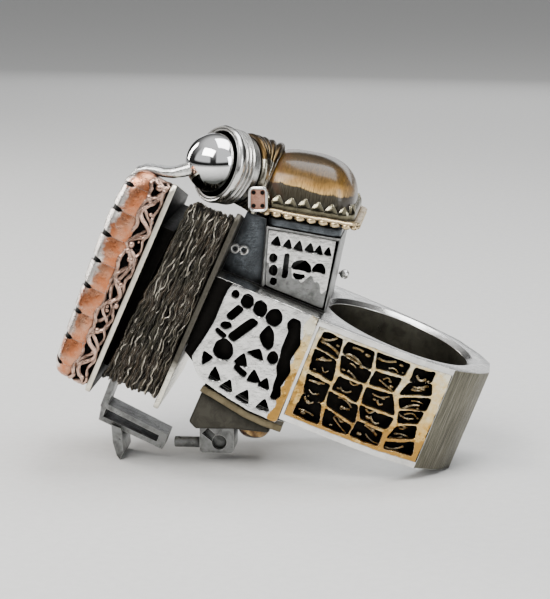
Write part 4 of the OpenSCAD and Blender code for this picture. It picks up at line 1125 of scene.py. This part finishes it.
def relief_mesh():
    """The gilt openwork of the band's side, bent to the side's curve."""
    chance = Random(11)
    high = BAND_TOP - 0.7
    low = -high
    first, last = RELIEF_COLUMNS[0], RELIEF_COLUMNS[-1]
    edges = [first[0] - first[1] / 2 - 0.2]
    for a, b in zip(RELIEF_COLUMNS, RELIEF_COLUMNS[1:]):
        edges.append((a[0] + a[1] / 2 + b[0] - b[1] / 2) / 2)
    edges.append(last[0] + last[1] / 2 + 0.2)
    bold = edges[BOLD_WALL]

    def wall(x, z):
        swing = 0.42 if x == bold else 0.24
        return x - WALL_LEAN * z + swing * math.sin(math.radians(x * 67 + z * 62))

    def vary(reach, row, rows):
        """A random step for the bars between two cells, none for a column's ends."""
        return chance.uniform(-reach, reach) if 0 < row < rows else 0

    holes = []
    for (left, right), (middle, width, skew, rows) in zip(zip(edges, edges[1:]), RELIEF_COLUMNS):
        step = (high - low - 0.5) / rows
        levels = [low + 0.45 + j * step + vary(0.16, j, rows) for j in range(rows + 1)]
        leans = [skew / 2 * (0.15 if j in (0, rows) else 1) + vary(0.2, j, rows) for j in range(rows + 1)]
        for j in range(rows):
            bar = RELIEF_BAR * chance.uniform(0.75, 1.3)
            z0, z1 = levels[j], levels[j + 1] - bar
            corners = []
            for x, z, lift, inwards in ((left, z0, leans[j], 1), (right, z0, -leans[j], -1),
                                        (right, z1, -leans[j + 1], -1), (left, z1, leans[j + 1], 1)):
                aside = (0.22 if x == bold else 0.06) + chance.uniform(0, 0.24)
                up = z + lift + chance.uniform(-0.07, 0.07)
                corners.append(Vector((wall(x, z) + inwards * aside, up)))
            a, b, c, d = corners
            low_middle = (a + b) / 2 + Vector((0, chance.uniform(-0.12, 0.12)))
            high_middle = (c + d) / 2 + Vector((0, chance.uniform(-0.12, 0.12)))
            holes.append(smooth_loop([a, low_middle, b, c, high_middle, d], 5, 0.8))
    outline = [(RELIEF_LEFT, low), (RELIEF_RIGHT, low), (RELIEF_RIGHT, high), (RELIEF_LEFT, high)]
    mesh = cut_plate(smooth_loop(outline, 6, 0.98), holes, RELIEF_THICKNESS)
    for vertex in mesh.vertices:
        px, pz, depth = vertex.co
        vertex.co = (px, -side_y(px) + RELIEF_DEEP - depth, pz)
    return unevenness(mesh, 0.085, size=0.75, seed=2.0)


def pocket_wires():
    """Bent wires and crumbs of metal that lie low in the relief's pockets."""
    chance = Random(29)
    high = BAND_TOP - 1.0
    wires = []
    for middle, width, skew, rows in RELIEF_COLUMNS:
        for j in range(rows * 2):
            z = -high + 2 * high * (j + 0.5) / (rows * 2) + chance.uniform(-0.3, 0.3)
            x = middle - WALL_LEAN * z + chance.uniform(-0.6, 0.6)
            reach, bend = chance.uniform(0.3, 1.0), chance.uniform(-0.35, 0.35)
            tilt = chance.uniform(-0.5, 0.5) - skew * 0.3
            spots = []
            for u in (i / 3 - 1 for i in range(7)):
                px = x + u * reach
                rise = tilt * u * reach + bend * (u * u - 0.4)
                spots.append((px, -side_y(px) + WIRES_DEEP + 0.2 * abs(u), z + rise))
            wires.append(sweep(spots, circle(chance.uniform(0.08, 0.17), 8), closed=False))
            px = middle + chance.uniform(-0.45, 0.45) * width
            crumb = chance.uniform(0.1, 0.26)
            spot = (px, -side_y(px) + CRUMBS_DEEP, z + chance.uniform(-0.3, 0.3))
            wires.append(round_lump(spot, (crumb * 1.5, crumb, crumb)))
    return joined(*wires)


# Operators
class RING_OT_stage(bpy.types.Operator):
    """Sets up the pale floor, the soft lights and the camera"""
    bl_idname = "ring.stage"
    bl_label = "Studio"

    def execute(self, context):
        bpy.ops.mesh.primitive_circle_add(vertices=64, radius=3.0, fill_type="NGON")
        floor = bpy.context.object
        floor.name = "Floor"
        floor.data.materials.append(finish("Pale studio paper", floor_paper))
        level = math.cos(CAMERA_ELEVATION)
        toward = Vector((math.sin(CAMERA_AZIMUTH) * level, -math.cos(CAMERA_AZIMUTH) * level,
                         math.sin(CAMERA_ELEVATION)))
        camera = bpy.data.cameras.new("Camera")
        camera.sensor_fit = "HORIZONTAL"
        camera.sensor_width = 36
        camera.lens = CAMERA_LENS
        camera.clip_start = 0.01
        view = link("Camera", camera)
        view.location = CAMERA_AIM + toward * CAMERA_AWAY
        view.rotation_euler = (-toward).to_track_quat("-Z", "Y").to_euler()
        context.scene.camera = view
        for name, place, size_m, power, colour in SOFTBOXES:
            lamp = bpy.data.lights.new(name, "AREA")
            lamp.shape = "RECTANGLE"
            lamp.size, lamp.size_y = size_m
            lamp.energy = power
            lamp.color = colour
            light = link(name, lamp)
            light.location = place
            light.rotation_euler = (CAMERA_AIM - Vector(place)).to_track_quat("-Z", "Y").to_euler()
        world = bpy.data.worlds.new("Studio")
        world.use_nodes = True
        world.node_tree.nodes.clear()
        nodes = Nodes(world.node_tree)
        x, y, up = nodes.axes(nodes.coordinates("Generated"))
        aside = nodes.ramp(nodes.math("ABSOLUTE", x + 0.05), (0.16, 0.0), (0.24, 1.0))
        above = nodes.ramp(up, (0.12, 0.0), (0.22, 1.0))
        screens = aside * above * nodes.ramp(y * -1.0, (0.05, 0.0), (0.2, 1.0))
        mirrored = nodes.mix(screens, nodes.ramp(up, *SKY), (0.75, 0.76, 0.77))
        ray = nodes.add("ShaderNodeLightPath")
        seen = nodes.mix(ray.output("Is Glossy Ray"), (0.30, 0.305, 0.31), mirrored)
        seen = nodes.mix(ray.output("Is Camera Ray"), seen, (0.62, 0.62, 0.61))
        back = nodes.add("ShaderNodeBackground", {"Color": seen, "Strength": 1.0})
        nodes.end("ShaderNodeOutputWorld", back)
        context.scene.world = world
        return {"FINISHED"}


class RING_OT_band(bpy.types.Operator):
    """Makes the band, its gilt side reliefs and the white pierced cheeks"""
    bl_idname = "ring.band"
    bl_label = "Band"

    def execute(self, context):
        band = trimmed_node("Band", 0.2, metal("Polished silver"), angle=20)
        rim, bore, sunk, pocket_end, open_end = 5.35, 8.45, 0.35, 6.95, 6.8

        def choose(c, n):
            """Black behind the reliefs, worn grey in the finger hole, streaked at the band's open end."""
            if abs(c.z) > rim or abs(n.z) > 0.6:
                return 0
            if math.hypot(c.x, c.y) < bore:
                return 2
            if side_y(c.x) - abs(c.y) > sunk and c.x < pocket_end:
                return 1
            return 3 if c.x > open_end else 0

        streaked = finish("Streaked silver", streaked_silver)
        paint(band, [metal("Blackened silver"), metal("Worn finger hole"), streaked], choose)
        gilt = finish("Gilt relief", gilt_relief)
        both_sides("Relief", relief_mesh(), Matrix(), gilt, "relief")
        pocket = metal("Half-blackened silver")
        both_sides("Pocket_wires", pocket_wires(), Matrix(), pocket, None)
        column = [(x - w, z) for x, z, w in CHEEK_COLUMN]
        column += [(x + w, z) for x, z, w in reversed(CHEEK_COLUMN)]
        holes = cut_loops(CHEEK_CUTS, 3, 1.03) + [smooth_loop(column, 4, 0.3)]
        cheek = cut_plate(smooth_loop(CHEEK_EDGE, 6, 0.75), holes, PLATE_THICKNESS + 0.02)
        place = upright(-HALF_DEPTH + PLATE_THICKNESS)
        sides = both_sides("Cheek", unevenness(cheek, 0.045, size=1.2, seed=5), place,
                           metal("White pierced silver"), "cheek")
        for side in sides:
            paint(side, [gilt], lambda c, n: 1 if c.x > -9.95 + 0.2 * math.sin(c.z * 2.3) else 0)
        return {"FINISHED"}


class RING_OT_head(bpy.types.Operator):
    """Makes the head's two covers and the dark core between them"""
    bl_idname = "ring.head"
    bl_label = "Covers"

    def execute(self, context):
        trimmed_node("Back_plate", 0.16, finish("Back cover", back_cover))
        front = trimmed_node("Front_plate", 0.16, metal("Bright cover edges"))
        to_head = HEAD.to_3x3().inverted() @ RING.to_3x3()
        black = metal("Blackened silver")
        # Painted shade: the front cover's inner face, over the bark, is painted black, and the core between
        # the covers is black too
        paint(front, [black], lambda c, n: 1 if (to_head @ n).normalized().z < -0.85 else 0)
        dress("core", black)
        return {"FINISHED"}


class RING_OT_bark(bpy.types.Operator):
    """Makes the stack of bark-like sheets between the covers"""
    bl_idname = "ring.bark"
    bl_label = "Bark sheets"

    def execute(self, context):
        sizes = head_sizes()
        length, depth = sizes.cover_length - LEAF_SETBACK[0], sizes.cover_depth - LEAF_SETBACK[1]
        tree = bark_tree()

        def strands(name, inset, material, nodes, **values):
            outline = head_loop(length, depth, inset, LEAF_CORNER, LEAF_SHIFT)
            mesh = run_tree(tree, (outline, 0.0), Fan=0.013, Hinge=LEAF_HINGE, Material=material, **values)
            finish_piece(name, mesh, HEAD, material, nodes, merge=0.0)

        strands("Bark_sheets", 0.45, finish("Bark bronze", bark_bronze), ["leaf_block"],
                Count=sizes.bark_sheets, Foot=LEAF_FOOT + 0.12, Height=LEAF_HEIGHT - 0.1, Thickness=0.16,
                Wave=sizes.bark_wave, Seed=4.0)
        strands("Bark_strands", 0.25, metal("Bright strands"), (), Count=10, Foot=LEAF_FOOT + 0.3,
                Height=LEAF_HEIGHT - 0.6, Thickness=0.085, Wave=sizes.bark_wave * 1.6, Seed=21.0)
        # Painted shade: a black skin behind the strands darkens the gaps between them
        outline = head_loop(length, depth, 0.75, LEAF_CORNER)
        rows = []
        for z, fan in ((LEAF_FOOT - 0.08, 0.0), (LEAF_FOOT + LEAF_HEIGHT, 0.055)):
            rows.append([(p.x + LEAF_SHIFT, p.y, z + fan * (LEAF_HINGE - p.x)) for p in outline])
        black = metal("Blackened silver")
        finish_piece("Bark_core", mesh_from(skinned(rows)), HEAD, black, ())
        return {"FINISHED"}


class RING_OT_petals(bpy.types.Operator):
    """Makes the openwork gallery and the row of folded petals above it"""
    bl_idname = "ring.petals"
    bl_label = "Petals and gallery"

    def execute(self, context):
        sizes = head_sizes()
        pitch, high = sizes.petal_pitch, sizes.petal_height
        length, depth = sizes.cover_length - PETAL_SETBACK, sizes.cover_depth - PETAL_SETBACK
        outline = head_loop(length, depth, 0, PETAL_CORNER, PETAL_SHIFT)
        copper = finish("Copper and silver petals", copper_petals)
        petals = row_along(outline, PETAL_FOOT, petal_part(pitch, high), pitch, copper, start=1.0,
                           uneven=0.03, seed=3)
        finish_piece("Petals", lowered(petals), HEAD, copper, ["petal_bezel"])
        black = metal("Blackened silver")
        # Painted shade: dark strips stand in the gaps between the petals
        gap_shade = row_along(outline, PETAL_FOOT, gap_shade_part(high), pitch, black, start=1.0 + pitch / 2,
                         uneven=0.02, seed=4)
        finish_piece("Petal_gaps", lowered(gap_shade), HEAD, black, ())
        # Painted shade: the gallery's strip is black behind the scroll wires, so that the holes between them
        # look dark
        dress("gallery", black)
        outline = head_loop(length, depth + PETAL_SETBACK, 0.3, 0.9, slide=PETAL_SHIFT / 2, side_steps=150,
                            corner_steps=16)
        middle = GALLERY_FOOT + GALLERY_MIDDLE
        nets = [wandering_wire(outline, middle + over, *wire) for over, *wire in GALLERY_WIRES]
        chance = Random(17)
        for k in range(130):
            spot = outline[chance.randrange(len(outline))]
            grain = chance.uniform(0.2, 0.46)
            place = (spot.x, spot.y, middle + chance.uniform(-0.8, 0.8))
            nets.append(round_lump(place, (grain, grain * 0.8, grain * 0.9)))
        finish_piece("Gallery_scrolls", unevenness(joined(*nets), 0.09, size=0.5, seed=4.0), HEAD,
                     metal("Copper and silver scrolls"), ())
        return {"FINISHED"}


class RING_OT_face_stone(bpy.types.Operator):
    """Makes the large stone that faces away from the finger"""
    bl_idname = "ring.face_stone"
    bl_label = "Face stone"

    def execute(self, context):
        sizes = head_sizes()
        length, depth = sizes.cover_length - PETAL_SETBACK, sizes.cover_depth - PETAL_SETBACK
        foot = GALLERY_FOOT + FACE_FOOT
        rows = []
        for inset, z in FACE_STEPS:
            loop = head_loop(length, depth, FACE_INSET + inset, FACE_CORNER, PETAL_SHIFT)
            rows.append([Vector((p.x, p.y, foot + z)) for p in loop])
        middle = sum(rows[-1], Vector((0, 0, 0))) / len(rows[-1])
        rows.append([(middle.x, middle.y, foot + FACE_TOP)])
        bands = HEAD @ turn("Y", 90) @ turn("X", 90)
        stone = finish("Brown banded stone", tiger_eye, bands, low=-3.5, band=-1.0, crown=8.0,
                       right_end=30.0)
        mesh = lowered(mesh_from(skinned(rows)))
        finish_piece("Face_stone", mesh, HEAD, stone, ["face_stone"])
        return {"FINISHED"}


class RING_OT_turret(bpy.types.Operator):
    """Makes the turret box, its pierced plates, its cap and the neck beside it"""
    bl_idname = "ring.turret"
    bl_label = "Turret"

    def execute(self, context):
        half = context.scene.ring_turret.depth / 2
        grey, slate = metal("Grey brushed silver"), metal("Blue-grey silver")
        white = metal("White pierced silver")
        for name, width, material in (("Turret", 0.18, grey), ("Turret_cap", 0.3, slate),
                                      ("Neck", 0.16, slate)):
            trimmed_node(name, width, material)
        holes = cut_loops(TURRET_CUTS, 8, 1.12)
        plate = cut_plate(smooth_loop(TURRET_OUTLINE, 6, 0.95), holes, 0.58, 0.08, 2)
        place = upright(-half + 0.57)
        sides = both_sides("Turret_plate", plate, place, white, "turret_plate")

        def brushed_foot(c, n):
            return 1 if c.z < 8.7 + 0.5 * math.sin(c.x * 2.1) + 0.25 * math.sin(c.x * 5.3) else 0

        for side in sides:
            paint(side, [grey], brushed_foot)
        rings = []
        for x, z in NECK_RINGS:
            loop = [(x + along, NECK_RING_Y, z + up) for along, up in circle(NECK_RING_RADIUS, 18)]
            rings.append(sweep(loop, circle(0.13, 8)))
        finish_piece("Neck_rings", joined(*rings), RING, metal("Polished silver"), ())
        dress("granule", white)
        return {"FINISHED"}


class RING_OT_stones(bpy.types.Operator):
    """Makes the golden dome stone and the small stone under the block"""
    bl_idname = "ring.stones"
    bl_label = "Dome stones"

    def execute(self, context):
        sizes = context.scene.ring_turret
        length, width, high = sizes.dome_length, sizes.dome_width, sizes.dome_height
        hidden = 1.9
        bm = cushion((length + hidden) / 2, width / 2, girdle=0.5, high=high, plan_n=3.4, side_n=2.5)
        bmesh.ops.transform(bm, matrix=shift(DOME_X - hidden / 2, 0, SAW_Z + 0.05), verts=bm.verts)
        cut_off(bm, (DOME_X - length / 2, 0, 0), (-1, 0, 0))
        bmesh.ops.transform(bm, matrix=RING.inverted() @ TOP, verts=bm.verts)
        cut_off(bm, (SLEEVE_FACE_X + 0.05, 0, 0), (-1, 0, 0))
        gold = finish("Golden banded stone", tiger_eye, TOP, low=4.7, band=5.6, crown=7.9, right_end=3.6)
        finish_piece("Dome_stone", mesh_from(bm), RING, gold, ["dome_stone"])
        place = RING @ shift(*LOWER_STONE_PLACE)
        olive = finish("Olive banded stone", tiger_eye, place, low=-1.2, band=0.0, crown=2.0, right_end=9.0)
        place = place @ turn("Y", LOWER_STONE_LEAN) @ Matrix.Scale(-1, 4, (0, 0, 1)) @ shift(0, 0, 0.15)
        bm = cushion(1.95, 3.6, girdle=0.2, high=1.9, plan_n=2.6, side_n=2.2, around=96, steps=24)
        finish_piece("Lower_stone", mesh_from(bm), place, olive, ["lower_stone"])
        return {"FINISHED"}


class RING_OT_bezels(bpy.types.Operator):
    """Makes the saw bezel round the dome, and the brass wires under it and under the block"""
    bl_idname = "ring.bezels"
    bl_label = "Saw and scallop"

    def execute(self, context):
        sizes = context.scene.ring_turret
        length, width = sizes.dome_length, sizes.dome_width + 1.1
        loop = rounded_loop(length + 0.75, width, 1.6, DOME_X)
        olive = metal("Olive silver saw")
        pitch = sizes.saw_pitch
        teeth = row_along(loop, SAW_Z, tooth_part(pitch), pitch, olive, start=0.4, uneven=0.06, seed=2)
        finish_piece("Saw_bezel", teeth, TOP, olive, ["saw_bezel"])
        loop = rounded_loop(length + 1.3, width + 1.2, 1.6, WIRE_X)
        cream = metal("Cream brass")
        pitch = sizes.bead_pitch
        lobes = row_along(loop, WIRE_Z, scallop_part(pitch), pitch, cream, start=0.2, uneven=0.05, seed=5)
        finish_piece("Scallop_wire", lobes, TOP, cream, ["scallop_wire"])
        # Painted shade: the wire under the block is a darkened copy of the cream brass, for the shade it lies
        # in
        trimmed_node("Lower_wire", 0.14, metal("Dim brass"))
        return {"FINISHED"}


class RING_OT_sleeve(bpy.types.Operator):
    """Makes the ribbed sleeve, the cup, the polished ball, the bridge strap and the riveted tab"""
    bl_idname = "ring.sleeve"
    bl_label = "Sleeve and ball"

    def execute(self, context):
        silver = metal("Polished silver")
        to_ring = RING.inverted()
        hoops = []
        for k in (-0.5, 0, 0.5, 1, 1.5, 2, 2.5, 3, 3.5, 4):
            main = k == int(k)
            radius = RIB_RADIUS - RIB_DROP * k - (0 if main else 0.42)
            wide, thick = (0.44, 0.42) if main else (0.34 if k > 0 else 0.7, 0.34)
            section = [(radius - thick + thick * c, wide * s) for c, s in circle(1, 14)]
            bm = skinned([[(r * c, r * s, z) for r, z in section] for c, s in circle(1, 110)], closed=True)
            bmesh.ops.transform(bm, matrix=to_ring @ fan_place(k), verts=bm.verts)
            cut_off(bm, (0, 0, SLEEVE_FOOT_Z), (0, 0, -1))
            cut_off(bm, (SLEEVE_FACE_X, 0, 0), (1, 0, 0))
            hoops.append(unevenness(mesh_from(bm), 0.035, size=0.8, seed=k))
        sleeve = finish_piece("Ribbed_sleeve", joined(*hoops), RING, metal("Olive and silver ribs"),
                              ["ribbed_sleeve"])

        def brown_top(c, n):
            return 1 if c.z > 18.9 + 0.25 * (c.x + 22) + 0.3 * math.sin(c.y * 3) and c.x > -24.6 else 0

        paint(sleeve, [metal("Brown ribs")], brown_top)
        end = fan_place(LAST_RIB)
        mesh = mesh_from(lathe(CUP_PROFILE))
        cup = finish_piece("Ball_cup", mesh, end, silver, ["ball_cup"])
        to_cup = (RING.inverted() @ end).inverted()

        # Painted shade: the cup's inner wall round the ball is painted dark grey
        def inside(c, n):
            spot = to_cup @ c
            return 1 if math.hypot(spot.x, spot.y) < 3.74 and 1.6 < spot.z < 3.5 else 0

        paint(cup, [metal("Dark cup")], inside)
        arc = [math.pi * (0.11 + 0.86 * i / 60) for i in range(61)]
        round_part = [(BALL_RADIUS * math.sin(a), BALL_OUT - BALL_RADIUS * math.cos(a)) for a in arc]
        ball = lathe(((0, 0.7), (0.92, 0.7), (0.95, 0.73), *round_part, (0, BALL_OUT + BALL_RADIUS * 0.996)))
        mirror = finish("Mirror-polished ball", mirror_ball, end @ Vector((0, 0, BALL_OUT)) / MM)
        finish_piece("Ball", mesh_from(ball), end, mirror, ["ball"])
        section = [(STRAP_THICK * power(s, 1 / 0.3), STRAP_WIDE * power(c, 4))
                   for c, s in circle(1, 20, 1, 0.5)]
        strap = sweep([(x, STRAP_Y, z) for x, z in STRAP_PATH], section, closed=False, swell=STRAP_SWELL)
        finish_piece("Bridge_strap", mesh_from(strap), RING, metal("White pierced silver"), ["bridge_strap"])
        place = RING @ shift(*TAB_PLACE) @ upright(TAB_FRONT) @ turn("Z", TAB_TURN)
        plate = cut_plate(rounded_loop(2.1, 2.7, 0.5), (), 0.44, 0.07, 3)
        finish_piece("Rivet_tab", plate, place, metal("Pink copper"), ["rivet_tab"])
        border = mesh_from(sweep([(p.x, 0, p.y) for p in rounded_loop(1.86, 2.46, 0.45)], circle(0.17, 8)))
        border.transform(shift(0, 0, 0.42) @ turn("X", 90))
        finish_piece("Tab_border", border, place, silver, ())
        rivets = [round_lump((x, z, 0.44), (0.24, 0.24, 0.14)) for x in (-0.48, 0.48) for z in (-0.72, 0.72)]
        finish_piece("Tab_rivets", joined(*rivets), place, metal("Blackened silver"), ())
        return {"FINISHED"}


class RING_OT_feet(bpy.types.Operator):
    """Makes the fittings under the block that the ring stands on"""
    bl_idname = "ring.feet"
    bl_label = "Foot fittings"

    def execute(self, context):
        grey = metal("Grey brushed silver")
        # Painted shade: the drum under the block is painted dark grey for the shade it lies in
        trimmed_node("Lower_drum", 0.3, metal("Dark drum"))
        trimmed_node("Foot_cube", 0.2, grey)
        trimmed_node("Foot_bar", 0.14, grey, 60)
        trimmed_node("Hook_strap", 0.13, grey)
        return {"FINISHED"}


class RING_PT_panel(bpy.types.Panel):
    """Sizes, finishes and makers of the ring"""
    bl_idname = "RING_PT_panel"
    bl_label = "Finger ring"
    bl_space_type = "VIEW_3D"
    bl_region_type = "UI"
    bl_category = "Ring"

    def draw(self, context):
        for group in (context.scene.ring_head, context.scene.ring_turret, context.scene.ring_finishes):
            for name in group.__annotations__:
                self.layout.prop(group, name)
        for operator in OPERATORS:
            self.layout.operator(operator.bl_idname)


OPERATORS = (RING_OT_stage, RING_OT_band, RING_OT_head, RING_OT_bark, RING_OT_petals, RING_OT_face_stone,
             RING_OT_turret, RING_OT_stones, RING_OT_bezels, RING_OT_sleeve, RING_OT_feet)
CLASSES = (RingHeadSizes, RingTurretSizes, RingFinishes, *OPERATORS, RING_PT_panel)


def register():
    for cls in CLASSES:
        bpy.utils.register_class(cls)
    bpy.types.Scene.ring_head = PointerProperty(type=RingHeadSizes)
    bpy.types.Scene.ring_turret = PointerProperty(type=RingTurretSizes)
    bpy.types.Scene.ring_finishes = PointerProperty(type=RingFinishes)


def unregister():
    del bpy.types.Scene.ring_head, bpy.types.Scene.ring_turret, bpy.types.Scene.ring_finishes
    for cls in reversed(CLASSES):
        bpy.utils.unregister_class(cls)


def main():
    register()
    for operator in OPERATORS:
        group, name = operator.bl_idname.split(".")
        getattr(getattr(bpy.ops, group), name)()
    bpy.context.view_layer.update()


if __name__ == "__main__":
    main()
